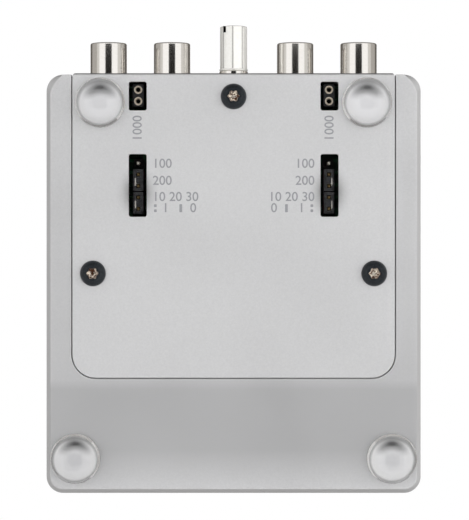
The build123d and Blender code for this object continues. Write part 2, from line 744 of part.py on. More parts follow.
for side_name, side in side_names.items():
    column_x = side * window_x

    with BuildPart() as header_base:
        with BuildSketch(Plane.XY.offset(header_base_z)):
            with BuildSketch(mode=Mode.PRIVATE) as header_cell:
                Rectangle(header_base_width, pin_spacing)
                chamfer(header_cell.vertices(), header_corner)
                Rectangle(pin_hole_size, pin_hole_size, mode=Mode.SUBTRACT)
            with Locations(*[(column_x, y) for y in pin_ys]):
                add(header_cell.sketch)
        extrude(amount=header_base_height)
    header_base.part.label = f"header_base_{side_name}"
    export_step(header_base.part, f"parts/header_base_{side_name}.step")

    with BuildPart() as header_pins:
        with BuildSketch(Plane.XY.offset(pin_tip_z)):
            with Locations(*[(column_x, y) for y in pin_ys]):
                Rectangle(pin_size, pin_size)
        extrude(amount=board_top_z + pin_tail - pin_tip_z)
        chamfer(header_pins.edges().group_by(Axis.Z)[0], pin_tip)
    header_pins.part.label = f"header_pins_{side_name}"
    export_step(header_pins.part, f"parts/header_pins_{side_name}.step")

    for jumper_name, jumper_y in jumper_places.items():
        with BuildPart() as jumper_cap:
            with BuildSketch(Plane.XY.offset(selector_z)):
                with Locations((column_x, jumper_y)):
                    Rectangle(jumper_width, jumper_length)
            extrude(amount=jumper_height)
            chamfer(jumper_cap.edges().filter_by(Axis.Z), jumper_edge)
            with BuildSketch(Plane.XY.offset(selector_z)):
                with Locations((column_x, jumper_y)):
                    Rectangle(jumper_bore_width, jumper_bore_length)
            extrude(amount=jumper_height, mode=Mode.SUBTRACT)
        jumper_cap.part.label = f"{jumper_name}_jumper_cap_{side_name}"
        export_step(jumper_cap.part, f"parts/{jumper_name}_jumper_cap_{side_name}.step")

        with BuildPart() as jumper_clip:
            with BuildSketch(Plane.XY.offset(selector_z + clip_recess)):
                with Locations((column_x, jumper_y)):
                    with GridLocations(0, pin_spacing, 1, 2):
                        Rectangle(clip_width, clip_ring_length)
                    with Locations((side * (clip_width - clip_thickness) / 2, 0)):
                        Rectangle(clip_thickness, jumper_bore_length - 2 * fit_clearance)
                    with GridLocations(0, pin_spacing, 1, 2):
                        Rectangle(clip_ring_inner_width, clip_ring_inner_length, mode=Mode.SUBTRACT)
            extrude(amount=clip_height)
        jumper_clip.part.label = f"{jumper_name}_jumper_clip_{side_name}"
        export_step(jumper_clip.part, f"parts/{jumper_name}_jumper_clip_{side_name}.step")

    with BuildPart() as load_socket:
        with BuildSketch(Plane.XY.offset(socket_face_z)):
            with Locations((column_x, load_y)):
                Rectangle(load_socket_width, load_socket_length)
        extrude(amount=load_socket_height)
        chamfer(load_socket.edges().filter_by(Axis.Z), load_socket_edge)
        with BuildSketch(Plane.XY.offset(socket_face_z)):
            with Locations((column_x, load_y)):
                with GridLocations(0, pin_spacing, 1, 2):
                    Circle(load_contact_radius + fit_clearance)
        extrude(amount=load_contact_length, mode=Mode.SUBTRACT)
    load_socket.part.label = f"load_socket_{side_name}"
    export_step(load_socket.part, f"parts/load_socket_{side_name}.step")

    with BuildPart() as load_contacts:
        with BuildSketch(Plane.XY.offset(socket_face_z)):
            with Locations((column_x, load_y)):
                with GridLocations(0, pin_spacing, 1, 2):
                    Circle(load_contact_radius)
        extrude(amount=load_contact_length)
        for step in (-1, 1):
            with Locations(from_below(column_x, load_y + step * pin_spacing / 2, socket_face_z)):
                CounterSinkHole(load_bore_radius, load_funnel_radius, load_bore_depth)
    load_contacts.part.label = f"load_contacts_{side_name}"
    export_step(load_contacts.part, f"parts/load_contacts_{side_name}.step")

# ---------------------------------------------------------------- parts on the board's lower face
header_inner_x = window_x - header_base_width / 2
film_cap_x = header_inner_x - part_gap - film_cap_thickness / 2
chip_x = film_cap_x - film_cap_thickness / 2 - part_gap - chip_leg_span / 2
chip_spacing_y = chip_length + part_gap
chip_places = [
    (side * chip_x, selector_y + step * chip_spacing_y / 2) for side in (-1, 1) for step in (-1, 1)
]
film_cap_places = [
    (side * film_cap_x, selector_y + step * chip_spacing_y / 2) for side in (-1, 1) for step in (-3, -1, 1)
]

with BuildPart() as film_capacitors:
    with BuildSketch(Plane.XY.offset(board_z)):
        with Locations(*film_cap_places):
            Rectangle(film_cap_thickness, film_cap_width)
    extrude(amount=-film_cap_height)
    chamfer(film_capacitors.edges().group_by(Axis.Z)[0], film_cap_edge)

film_capacitors.part.label = "film_capacitors"
export_step(film_capacitors.part, "parts/film_capacitors.step")

with BuildPart() as amplifier_chips:
    with BuildSketch(Plane.XY.offset(board_z - chip_stand)):
        with Locations(*chip_places):
            Rectangle(chip_width, chip_length)
    extrude(amount=-chip_height)
    chamfer(amplifier_chips.edges().group_by(Axis.Z)[0], chip_edge)

amplifier_chips.part.label = "amplifier_chips"
export_step(amplifier_chips.part, "parts/amplifier_chips.step")

leg_top_z = board_z - chip_stand - chip_height / 2
leg_ys = [
    chip_row_y + pin_spacing * (place - (chip_leg_count - 1) / 2)
    for chip_row_y in sorted({y for _, y in chip_places})
    for place in range(chip_leg_count)
]

with BuildPart() as chip_legs:
    for leg_y in leg_ys:
        with BuildSketch(depth_plane(leg_y)):
            with BuildLine():
                for chip_side in (-1, 1):
                    for leg_side in (-1, 1):
                        root_x = chip_side * chip_x + leg_side * chip_width / 2
                        bend_x = chip_side * chip_x + leg_side * (chip_leg_span - chip_leg_thickness) / 2
                        Polyline((root_x, leg_top_z), (bend_x, leg_top_z), (bend_x, board_z))
            trace(line_width=chip_leg_thickness)
        extrude(amount=chip_leg_width / 2, both=True)

chip_legs.part.label = "chip_legs"
export_step(chip_legs.part, "parts/chip_legs.step")

resistor_x = standoff_x - standoff_across_flats / 2 - part_gap - lead_span / 2
can_row_y = board_front_y + part_gap + can_diameter / 2
can_spacing_x = resistor_x - (lead_span + can_diameter) / 2 - part_gap
can_places = [
    (column * can_spacing_x, can_row_y + row * can_spacing_y) for column in (-1, 0, 1) for row in (0, 1)
]
can_radius = can_diameter / 2
groove_z = board_z - can_groove_height

with BuildPart() as electrolytic_capacitors:
    for can_x, can_y in can_places:
        with BuildSketch(upright_plane(can_x, can_y)):
            with BuildLine():
                Polyline(
                    (can_radius, groove_z - can_groove_depth),
                    (can_radius, board_z - can_height),
                    (0, board_z - can_height),
                    (0, board_z),
                    (can_radius, board_z),
                    (can_radius, groove_z + can_groove_depth),
                    (can_radius - can_groove_depth, groove_z),
                    close=True,
                )
            make_face()
        revolve(axis=vertical_axis(can_x, can_y))

electrolytic_capacitors.part.label = "electrolytic_capacitors"
export_step(electrolytic_capacitors.part, "parts/electrolytic_capacitors.step")

resistor_z = board_z - resistor_radius - resistor_stand
resistor_waist_length = resistor_length - 2 * resistor_cap_length
first_resistor_y = board_front_y + part_gap + resistor_radius
last_resistor_y = min(y for _, y in film_cap_places) - film_cap_width / 2 - part_gap - resistor_radius
resistor_spacing = (last_resistor_y - first_resistor_y) / (resistor_count - 1)
resistor_ys = [first_resistor_y + resistor_spacing * row for row in range(resistor_count)]

with BuildPart() as resistors:
    for side in (-1, 1):
        for resistor_y in resistor_ys:
            with BuildSketch(depth_plane(resistor_y)):
                with Locations((side * resistor_x, resistor_z + resistor_radius / 2)):
                    Rectangle(resistor_length, resistor_radius)
                with Locations((side * resistor_x, resistor_z + resistor_radius)):
                    Rectangle(resistor_waist_length, 2 * resistor_waist, mode=Mode.SUBTRACT)
            revolve(axis=Axis((0, resistor_y, resistor_z), (1, 0, 0)))

resistors.part.label = "resistors"
export_step(resistors.part, "parts/resistors.step")

with BuildPart() as resistor_leads:
    for resistor_y in resistor_ys:
        with BuildSketch(depth_plane(resistor_y)):
            with BuildLine():
                for side in (-1, 1):
                    for end in (-1, 1):
                        bend_x = side * resistor_x + end * (lead_span - lead_width) / 2
                        Polyline(
                            (side * resistor_x + end * resistor_length / 2, resistor_z),
                            (bend_x, resistor_z),
                            (bend_x, board_z),
                        )
            trace(line_width=lead_width)
        extrude(amount=lead_width / 2, both=True)

resistor_leads.part.label = "resistor_leads"
export_step(resistor_leads.part, "parts/resistor_leads.step")

regulator_y = can_row_y + can_spacing_y + can_radius + part_gap + regulator_radius
regulator_places = [(side * can_spacing_x / 2, regulator_y) for side in (-1, 1)]
regulator_base_z = board_z - regulator_lead_length

with BuildPart() as regulators:
    with BuildSketch(Plane.XY.offset(regulator_base_z)):
        with Locations(*regulator_places):
            Circle(regulator_radius)
        with Locations(*[(x, y - regulator_flat - regulator_radius) for x, y in regulator_places]):
            Rectangle(2 * regulator_radius, 2 * regulator_radius, mode=Mode.SUBTRACT)
    extrude(amount=-regulator_height)
    with BuildSketch(Plane.XY.offset(board_z)):
        for x, y in regulator_places:
            with Locations((x, y)):
                with GridLocations(regulator_lead_spacing, 0, 3, 1):
                    Rectangle(regulator_lead_width, regulator_lead_width)
    extrude(amount=-regulator_lead_length)

regulators.part.label = "regulators"
export_step(regulators.part, "parts/regulators.step")

# ---------------------------------------------------------------- power light
guide_rear_y = board_front_y - led_lens_reach - guide_gap

with BuildPart() as power_led:
    with BuildSketch(depth_plane(board_front_y + led_depth)):
        with Locations((0, guide_z)):
            Rectangle(led_width, led_height)
    extrude(amount=led_depth)
    with BuildSketch(depth_plane(board_front_y)):
        with Locations((0, guide_z)):
            Circle(led_lens_radius)
    extrude(amount=led_lens_reach)
    chamfer(power_led.edges().filter_by(GeomType.CIRCLE).sort_by(Axis.Y)[0], led_lens_edge)

power_led.part.label = "power_led"
export_step(power_led.part, "parts/power_led.step")

with BuildPart() as light_guide:
    with BuildSketch(depth_plane(guide_rear_y)):
        with Locations((0, guide_z)):
            Circle(guide_diameter / 2)
    extrude(amount=guide_rear_y - front_y)
    chamfer(light_guide.edges().filter_by(GeomType.CIRCLE), guide_edge)

light_guide.part.label = "light_guide"
export_step(light_guide.part, "parts/light_guide.step")
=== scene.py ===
import logging
import math
from contextlib import contextmanager
from dataclasses import dataclass
from enum import Enum
from typing import Callable, Iterator, Mapping, Sequence

import bmesh
import bpy
from mathutils import Matrix, Vector


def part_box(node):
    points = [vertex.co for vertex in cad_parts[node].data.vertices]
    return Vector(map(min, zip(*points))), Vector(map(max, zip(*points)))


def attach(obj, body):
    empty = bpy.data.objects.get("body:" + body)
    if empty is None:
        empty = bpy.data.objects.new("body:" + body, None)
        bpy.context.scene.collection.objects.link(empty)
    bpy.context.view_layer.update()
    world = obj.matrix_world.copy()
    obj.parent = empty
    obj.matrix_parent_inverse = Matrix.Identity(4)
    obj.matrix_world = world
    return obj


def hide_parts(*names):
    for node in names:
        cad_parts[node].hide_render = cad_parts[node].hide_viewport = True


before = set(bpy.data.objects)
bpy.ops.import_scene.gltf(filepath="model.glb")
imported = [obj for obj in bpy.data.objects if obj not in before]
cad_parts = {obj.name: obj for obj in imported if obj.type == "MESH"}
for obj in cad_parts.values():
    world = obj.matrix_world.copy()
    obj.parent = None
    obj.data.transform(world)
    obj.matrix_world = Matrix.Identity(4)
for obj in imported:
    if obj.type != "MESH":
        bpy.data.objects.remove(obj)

# Finishes, fine modelling and studio for the phono preamplifier. Metres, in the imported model's frame:
# +Z up, the front towards -Y, the feet resting on z = 0.

log = logging.getLogger("phono_preamp")

MM = 0.001
TURN = 2 * math.pi
Point = tuple[float, float]
Colour = tuple[float, float, float]
Piece = bpy.types.Object
Material = bpy.types.Material
Node = bpy.types.Node
Socket = bpy.types.NodeSocket
Sockets = Mapping[str, Socket]
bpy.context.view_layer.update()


# ------------------------------------------------------------------------------- named options
class Body(Enum):
    """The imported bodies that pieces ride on."""

    CHASSIS = "chassis"
    GAIN_LEFT = "gain_jumper_left"
    GAIN_RIGHT = "gain_jumper_right"
    SUBSONIC_LEFT = "subsonic_jumper_left"
    SUBSONIC_RIGHT = "subsonic_jumper_right"
    WASHER = "ground_washer"
    GROUND_SCREW = "ground_screw"


class Slot(Enum):
    """The record's material slots."""

    HOUSING = "housing_metal"
    TRAY = "tray_metal"
    BLACK_STEEL = "black_steel"
    GEL = "clear_gel"
    BOARD = "board"
    STEEL = "steel"
    BLACK_PLASTIC = "black_plastic"
    NICKEL = "nickel"
    WHITE_INSERT = "white_insert"
    RED_INSERT = "red_insert"
    CONTACT = "contact_metal"
    FILM = "film_red"
    CAN = "can_black"
    RESISTOR = "resistor_blue"
    LIGHT = "light_clear"


class Axis(Enum):
    """Directions that turned pieces stand along."""

    Y = (0.0, 1.0, 0.0)
    Z = (0.0, 0.0, 1.0)


class Pick(Enum):
    """What an edit-mode selection is made of."""

    VERTICES = "VERT"
    EDGES = "EDGE"
    FACES = "FACE"


class Align(Enum):
    """Which end of a printed number stands at its given place."""

    START = "LEFT"
    MIDDLE = "CENTER"
    END = "RIGHT"


class Side(Enum):
    """The two channels, by the sign of their x."""

    LEFT = -1
    RIGHT = 1

    @property
    def word(self) -> str:
        """The side's word in node names."""
        return self.name.lower()


def srgb(*values: float) -> Colour:
    """Turn display values into the linear colour that shaders take.

    Args:
        *values: Red, green and blue, from 0 to 255.

    Returns:
        The linear colour.
    """
    shares = [value / 255 for value in values]
    return tuple(s / 12.92 if s <= 0.04045 else ((s + 0.055) / 1.055) ** 2.4 for s in shares)


def grey(value: float) -> Colour:
    """Linear colour of a faintly cold grey, from its display value."""
    return srgb(value, value, value + 1)


def arc(start: Point, end: Point, radius: float, count: int) -> list[Point]:
    """Lay points along a circular arc that bulges to the right of the way from start to end.

    Args:
        start: First point of the arc.
        end: Last point of the arc.
        radius: Radius of the arc.
        count: Number of spans.

    Returns:
        The arc's points, both ends among them.
    """
    first = Vector(start)
    last = Vector(end)
    chord = last - first
    height = math.sqrt(max(radius**2 - chord.length_squared / 4, 0.0))
    centre = (first + last) / 2 + Vector((-chord.y, chord.x)).normalized() * height
    begin = first - centre
    sweep = begin.angle_signed(last - centre)
    points = []
    for step in range(count + 1):
        spoke = Matrix.Rotation(-sweep * step / count, 2) @ begin
        points.append((centre.x + spoke.x, centre.y + spoke.y))
    return points


# ------------------------------------------------------------------------------- shader building
class NodeSheet:
    """A shader node tree with short calls to add and link nodes."""

    def __init__(self, tree: bpy.types.NodeTree) -> None:
        """Take hold of a tree and empty it."""
        self.tree = tree
        tree.nodes.clear()

    @classmethod
    def of(cls, owner: Material | bpy.types.World) -> "NodeSheet":
        """Sheet of a material's or a world's own tree."""
        owner.use_nodes = True
        return cls(owner.node_tree)

    def feed(self, socket: Socket, value: object) -> None:
        """Give a socket its source or its value.

        Args:
            socket: The socket to feed.
            value: Another socket, a number, a vector or a colour.
        """
        if isinstance(value, bpy.types.NodeSocket):
            self.tree.links.new(value, socket)
        elif socket.type == "RGBA":
            socket.default_value = (*value, 1.0)
        else:
            socket.default_value = value

    def add(self, kind: str, **settings: object) -> Node:
        """Add one node.

        Args:
            kind: The node's type name, without its first word.
            **settings: Its properties, or what feeds its inputs, under their sockets' names.

        Returns:
            The new node.
        """
        node = self.tree.nodes.new(f"ShaderNode{kind}")
        for name, value in settings.items():
            if hasattr(node, name):
                setattr(node, name, value)
            else:
                self.feed(node.inputs[name.replace("_", " ")], value)
        return node

    def group(self, name: str, **values: object) -> Sockets:
        """Place a shared group and give its outputs."""
        return self.add("Group", node_tree=bpy.data.node_groups[name], **values).outputs

    def math(
        self, operation: str, *values: Socket | float, kind: str = "Math", result: int | str = 0
    ) -> Socket:
        """Add a node that calculates.

        Args:
            operation: The operation's name.
            *values: Sockets or numbers.
            kind: Math for numbers, or VectorMath.
            result: Which output is wanted.

        Returns:
            The result.
        """
        node = self.add(kind, operation=operation)
        for socket, value in zip(node.inputs, values):
            self.feed(socket, value)
        return node.outputs[result]

    def product(self, first: Socket, *others: Socket | float) -> Socket:
        """Multiply several masks.

        Args:
            first: The first mask.
            *others: Masks or numbers to multiply it by.

        Returns:
            The product.
        """
        for other in others:
            first = self.math("MULTIPLY", first, other)
        return first

    def distance(self, gaps: Sequence[Socket], reaches: Point = (1.0, 1.0)) -> Socket:
        """Length of a way, each part of which counts in a unit of its own.

        Args:
            gaps: The way's two parts.
            reaches: The unit of each part.

        Returns:
            The length.
        """
        shares = [self.math("DIVIDE", gap, reach) for gap, reach in zip(gaps, reaches)]
        squares = [self.math("POWER", self.math("ABSOLUTE", share), 2.0) for share in shares]
        return self.math("SQRT", self.math("ADD", *squares))

    def place(self) -> Socket:
        """Object coordinates."""
        return self.add("TexCoord").outputs["Object"]

    def parts(self, vector: Socket) -> Sequence[Socket]:
        """X, Y and Z of a vector."""
        return self.add("SeparateXYZ", Vector=vector).outputs[:]

    def spread(
        self, value: Socket, low: float, high: float, to_low: float = 0.0, to_high: float = 1.0
    ) -> Socket:
        """Add a clamped Map Range node.

        Args:
            value: The value to map.
            low: Value that becomes to_low.
            high: Value that becomes to_high.
            to_low: First end of the result.
            to_high: Other end of the result.

        Returns:
            The mapped value.
        """
        ends = {"From_Min": low, "From_Max": high, "To_Min": to_low, "To_Max": to_high}
        return self.add("MapRange", Value=value, **ends).outputs["Result"]

    def blend(self, mask: Socket, first: Socket | Colour, second: Socket | Colour) -> Socket:
        """Mix two colours.

        Args:
            mask: Share of the second one.
            first: A colour or its socket.
            second: A colour or its socket.

        Returns:
            The mixed colour.
        """
        node = self.add("Mix", data_type="RGBA", Factor=mask)
        colours = [socket for socket in node.inputs if socket.type == "RGBA"]
        for socket, value in zip(colours, (first, second)):
            self.feed(socket, value)
        return next(socket for socket in node.outputs if socket.type == "RGBA")

    def mix(self, mask: Socket, first: Node, second: Node) -> Node:
        """Mix two shaders.

        Args:
            mask: Share of the second one.
            first: A shader.
            second: A shader.

        Returns:
            The mixing node.
        """
        node = self.add("MixShader", Fac=mask)
        for socket, shader in zip(node.inputs[1:], (first, second)):
            self.feed(socket, shader.outputs[0])
        return node


class Effects:
    """Shader node groups that several finishes share, each built once."""

    GRAIN = "grain"
    WORN_EDGE = "worn_edge"
    PITS = "pits"
    EDGE_REACH = 0.25 * MM

    @staticmethod
    def _new(name: str, results: Sequence[str], **values: object) -> tuple[NodeSheet, Sockets, Sockets]:
        """Make an empty group.

        Args:
            name: The group's name.
            results: Names of its outputs.
            **values: Values of its inputs.

        Returns:
            Its sheet, what comes in and what goes out.
        """
        tree = bpy.data.node_groups.new(name, "ShaderNodeTree")
        for label, value in values.items():
            kind = "NodeSocketVector" if isinstance(value, tuple) else "NodeSocketFloat"
            label = label.replace("_", " ")
            tree.interface.new_socket(name=label, in_out="INPUT", socket_type=kind).default_value = value
        for label in results:
            tree.interface.new_socket(name=label, in_out="OUTPUT", socket_type="NodeSocketFloat")
        sheet = NodeSheet(tree)
        return sheet, tree.nodes.new("NodeGroupInput").outputs, tree.nodes.new("NodeGroupOutput").inputs

    @classmethod
    def build_all(cls) -> None:
        """Build every shared group."""
        cls._build_grain()
        cls._build_worn_edge()
        cls._build_pits()

    @classmethod
    def _build_grain(cls) -> None:
        """Stretched noise: blasted skin, brushing, moulding grain, smears."""
        sheet, into, out_of = cls._new(
            cls.GRAIN, ["Mask", "Height"], Scale=1000.0, Stretch=(1.0, 1.0, 1.0), Contrast=2.0
        )
        place = sheet.math("MULTIPLY", sheet.place(), into["Stretch"], kind="VectorMath")
        noise = sheet.add("TexNoise", Detail=4.0, Roughness=0.62, Vector=place, Scale=into["Scale"])
        centred = sheet.math("SUBTRACT", noise.outputs["Fac"], 0.5)
        lifted = sheet.math("ADD", sheet.product(centred, into["Contrast"]), 0.5)
        sheet.feed(out_of["Mask"], sheet.spread(lifted, 0.0, 1.0))
        sheet.feed(out_of["Height"], noise.outputs["Fac"])

    @classmethod
    def _build_worn_edge(cls) -> None:
        """Mask that is 1 on outer and inner edges and breaks up and dies out beside them."""
        sheet, into, out_of = cls._new(cls.WORN_EDGE, ["Mask"], Grain_Scale=900.0)
        rounded = sheet.add("Bevel", samples=6, Radius=cls.EDGE_REACH).outputs["Normal"]
        flat = sheet.add("NewGeometry").outputs["Normal"]
        facing = sheet.math("DOT_PRODUCT", rounded, flat, kind="VectorMath", result="Value")
        edge = sheet.spread(sheet.math("SUBTRACT", 1.0, facing), 0.01, 0.16)
        noise = sheet.add("TexNoise", Detail=3.0, Vector=sheet.place(), Scale=into["Grain Scale"])
        broken = sheet.spread(noise.outputs["Fac"], 0.35, 0.62, 0.25, 1.0)
        sheet.feed(out_of["Mask"], sheet.product(edge, broken))

    @classmethod
    def _build_pits(cls) -> None:
        """Tiny round dents, as glass beads leave them."""
        sheet, into, out_of = cls._new(cls.PITS, ["Mask", "Height"], Scale=3000.0)
        cells = sheet.add("TexVoronoi", feature="SMOOTH_F1", Vector=sheet.place(), Scale=into["Scale"])
        depth = cells.outputs["Distance"]
        sheet.feed(out_of["Mask"], sheet.spread(depth, 0.05, 0.7, 1.0, 0.0))
        sheet.feed(out_of["Height"], depth)


# ------------------------------------------------------------------------------- finishes
@dataclass(frozen=True)
class Finish:
    """What a surface is made of and how it is worked. Its relief is in millimetres."""

    name: str
    colour: Colour
    low_colour: Colour
    metallic: float = 0.0
    roughness: float = 0.5
    roughness_swing: float = 0.08
    grain_scale: float = 2500.0
    grain_stretch: tuple[float, float, float] = (1.0, 1.0, 1.0)
    grain_contrast: float = 2.0
    relief: float = 0.01
    smear_scale: float = 60.0

    def _paint(self, sheet: NodeSheet, grain: Socket) -> Socket:
        """Colour of the surface, here its grain alone; other finishes lay more over it."""
        return sheet.blend(grain, self.low_colour, self.colour)

    def _height(self, sheet: NodeSheet, grain: Socket) -> Socket:
        """Height of the surface, for its bump."""
        return grain

    def _bump(self, sheet: NodeSheet, height: Socket) -> Socket:
        """Normal that a height gives the surface."""
        bump = sheet.add("Bump", Strength=1.0, Distance=self.relief * MM, Height=height)
        return bump.outputs["Normal"]

    def build(self) -> Material:
        """Build the material.

        Returns:
            The material.
        """
        material = bpy.data.materials.new(self.name)
        sheet = NodeSheet.of(material)
        look = {"Scale": self.grain_scale, "Stretch": self.grain_stretch, "Contrast": self.grain_contrast}
        grain = sheet.group(Effects.GRAIN, **look)
        smear = sheet.group(Effects.GRAIN, Scale=self.smear_scale, Contrast=1.6)
        swing = self.roughness_swing
        shader = sheet.add(
            "BsdfPrincipled",
            Metallic=self.metallic,
            Base_Color=self._paint(sheet, grain["Mask"]),
            Roughness=sheet.spread(smear["Mask"], 0.0, 1.0, self.roughness - swing, self.roughness + swing),
            Normal=self._bump(sheet, self._height(sheet, grain["Height"])),
        )
        sheet.add("OutputMaterial", Surface=shader.outputs[0])
        return material


@dataclass(frozen=True)
class EdgedFinish(Finish):
    """A finish whose edges are rubbed to a colour of their own."""

    edge_colour: Colour = (0.8, 0.8, 0.8)
    edge_share: float = 0.35
    edge_grain: float = 900.0

    def _rub(self, sheet: NodeSheet, plain: Socket) -> Socket:
        """Lay the rubbed edges over a colour."""
        edge = sheet.group(Effects.WORN_EDGE, Grain_Scale=self.edge_grain)["Mask"]
        return sheet.blend(sheet.product(edge, self.edge_share), plain, self.edge_colour)

    def _paint(self, sheet: NodeSheet, grain: Socket) -> Socket:
        """Grain with rubbed edges."""
        return self._rub(sheet, super()._paint(sheet, grain))


@dataclass(frozen=True)
class PlatedMetal(EdgedFinish):
    """Bright plating with fine turning marks and rubbed edges."""

    edge_colour: Colour = (0.9, 0.9, 0.9)
    edge_share: float = 0.4
    edge_grain: float = 2500.0


@dataclass(frozen=True)
class MouldedPlastic(EdgedFinish):
    """Injection-moulded plastic with a fine matt grain and slightly paler edges."""

    edge_colour: Colour = (0.06, 0.06, 0.06)
    edge_share: float = 0.5
    edge_grain: float = 1800.0


@dataclass(frozen=True)
class BlastedAluminium(EdgedFinish):
    """Anodised aluminium, blasted with fine beads, its edges rubbed bright."""

    pit_share: float = 2.2

    def _pits(self, sheet: NodeSheet) -> Sockets:
        """The beads' dents."""
        return sheet.group(Effects.PITS, Scale=self.pit_share * self.grain_scale)

    def _paint(self, sheet: NodeSheet, grain: Socket) -> Socket:
        """Colour with cloudy drift, pits and bright edges.

        Args:
            sheet: The material's sheet.
            grain: The grain's mask.

        Returns:
            The colour.
        """
        cloud = sheet.group(Effects.GRAIN, Scale=45.0, Contrast=1.5)["Mask"]
        speckle = sheet.product(grain, 0.62)
        dents = sheet.product(self._pits(sheet)["Mask"], 0.18)
        mask = sheet.math("ADD", sheet.math("ADD", speckle, dents), sheet.product(cloud, 0.2))
        return self._rub(sheet, sheet.blend(mask, self.low_colour, self.colour))

    def _height(self, sheet: NodeSheet, grain: Socket) -> Socket:
        """Height of the grain with the beads' dents in it."""
        return sheet.math("ADD", grain, self._pits(sheet)["Height"])


@dataclass(frozen=True)
class SatinHousing(BlastedAluminium):
    """The housing's aluminium, with painted shade across the floor between the tray and the front edge, down
    its margins and on its bevel.
    """

    # Painted shade: the floor darkens towards the front edge and down its margins, and its bevel gets a
    # darker colour of its own.
    shade_colour: Colour = (0.4, 0.4, 0.4)
    bevel_colour: Colour = (0.5, 0.5, 0.5)
    shade_from: float = -27.0 * MM
    shade_ramp: float = 2 * MM
    shade_to: float = -50.5 * MM
    shade_fade: float = 8 * MM
    dull_from: float = 34.0 * MM
    dull_share: float = 0.5
    floor_heights: Point = (5.6 * MM, 5.05 * MM)
    bevel_starts: Point = (5.1 * MM, 5.25 * MM)
    bevel_ends: Point = (6.2 * MM, 7.2 * MM)

    def _paint(self, sheet: NodeSheet, grain: Socket) -> Socket:
        """Blasted colour with painted shade across the floor towards the front and down its margins, and
        painted shade on the bevel round it.

        Args:
            sheet: The material's sheet.
            grain: The grain's mask.

        Returns:
            The colour.
        """
        _, y, z = sheet.parts(sheet.place())
        # Painted shade on the floor: darker from the rear of the margins towards the front, fading out just
        # before the front edge.
        starts = sheet.spread(y, self.shade_from + self.shade_ramp, self.shade_from - self.shade_ramp)
        margin_shade = sheet.spread(y, self.dull_from, self.shade_from, 0.0, self.dull_share)
        begins = sheet.math("MAXIMUM", starts, margin_shade)
        fades = sheet.spread(y, self.shade_to, self.shade_to + self.shade_fade)
        toned = sheet.product(begins, fades, sheet.spread(z, *self.floor_heights))
        floor = sheet.blend(toned, super()._paint(sheet, grain), self.shade_colour)
        # Painted shade: a darker colour on the bevel round the floor.
        rises = sheet.spread(z, *self.bevel_starts)
        ends = sheet.spread(z, *self.bevel_ends, 1.0, 0.0)
        return sheet.blend(sheet.product(rises, ends), floor, self.bevel_colour)


@dataclass(frozen=True)
class BentTray(BlastedAluminium):
    """The tray's aluminium, with painted shade round the jumper windows and along its rear bend."""

    # Painted shade: a soft dark patch round each jumper window, and a thin dark line along the rear bend.
    smudge_colour: Colour = (0.12, 0.12, 0.12)
    smudge_place: Point = (21.25 * MM, 14.6 * MM)
    smudge_reach: Point = (5.2 * MM, 6.8 * MM)
    smudge_core: float = 0.25
    smudge_share: float = 0.95
    line_from: float = 40.82 * MM
    line_top: float = 5.9 * MM
    line_colour: Colour = (0.3, 0.3, 0.3)

    def _paint(self, sheet: NodeSheet, grain: Socket) -> Socket:
        """Blasted colour with painted shade round the windows and along the bend.

        Args:
            sheet: The material's sheet.
            grain: The grain's mask.

        Returns:
            The colour.
        """
        x, y, z = sheet.parts(sheet.place())
        # Painted shade: a soft dark patch round each jumper window.
        aside = sheet.math("SUBTRACT", sheet.math("ABSOLUTE", x), self.smudge_place[0])
        ahead = sheet.math("SUBTRACT", y, self.smudge_place[1])
        distance = sheet.distance((aside, ahead), self.smudge_reach)
        fading = sheet.math("POWER", sheet.spread(distance, self.smudge_core, 1.0, 1.0, 0.0), 2.0)
        window_shade = sheet.product(fading, self.smudge_share)
        window_shaded = sheet.blend(window_shade, super()._paint(sheet, grain), self.smudge_colour)
        # Painted shade: a thin dark line along the rear bend.
        far = sheet.spread(y, self.line_from, self.line_from + 0.1 * MM)
        low = sheet.spread(z, self.line_top, self.line_top - 0.3 * MM)
        return sheet.blend(sheet.product(far, low), window_shaded, self.line_colour)


@dataclass(frozen=True)
class MarkedMetal(PlatedMetal):
    """Metal whose marked faces show a look of their own: real wear on some parts, painted shade in slots and
    grooves on others.
    """

    worked_colour: Colour = (0.8, 0.7, 0.6)
    stain_colour: Colour = (0.2, 0.1, 0.05)
    stain_scale: float = 1500.0
    stain_contrast: float = 7.0
    stain_share: float = 0.37

    def _paint(self, sheet: NodeSheet, grain: Socket) -> Socket:
        """Plated skin, or the marked faces' look: real wear on some parts, painted shade on others.

        Args:
            sheet: The material's sheet.
            grain: The grain's mask.

        Returns:
            The colour.
        """
        stain = sheet.group(Effects.GRAIN, Scale=self.stain_scale, Contrast=self.stain_contrast)
        clean = sheet.spread(stain["Mask"], self.stain_share, 1.0)
        worked = sheet.blend(clean, self.stain_colour, self.worked_colour)
        marked = sheet.add("Attribute", attribute_name="worked").outputs["Fac"]
        return sheet.blend(marked, super()._paint(sheet, grain), worked)


@dataclass(frozen=True)
class ZonedMetal(PlatedMetal):
    """Plated metal with a painted zone past a place along one axis: painted shade deep in a bore by default,
    or a painted glint on a pin.
    """

    axis: int = 2
    # Painted shade: by default the zone darkens deep in a bore.
    zone: Point = (8.0 * MM + 0.15 * MM, 8.0 * MM + 0.45 * MM)
    zone_colour: Colour = (0.01, 0.009, 0.008)

    def _paint(self, sheet: NodeSheet, grain: Socket) -> Socket:
        """Plated colour that turns into the painted zone's colour."""
        share = sheet.spread(sheet.parts(sheet.place())[self.axis], *self.zone)
        return sheet.blend(share, super()._paint(sheet, grain), self.zone_colour)


@dataclass(frozen=True)
class SolderMask(Finish):
    """Green lacquer over copper tracks on a glass-fibre board."""

    track_colour: Colour = (0.01, 0.05, 0.022)
    track_scale: float = 90.0
    track_width: float = 0.035

    def _paint(self, sheet: NodeSheet, grain: Socket) -> Socket:
        """Lacquer with paler tracks."""
        tracks = sheet.add(
            "TexBrick",
            offset=0.37,
            squash=1.4,
            squash_frequency=3,
            Scale=self.track_scale,
            Mortar_Size=self.track_width,
            Vector=sheet.place(),
        )
        return sheet.blend(tracks.outputs["Fac"], super()._paint(sheet, grain), self.track_colour)


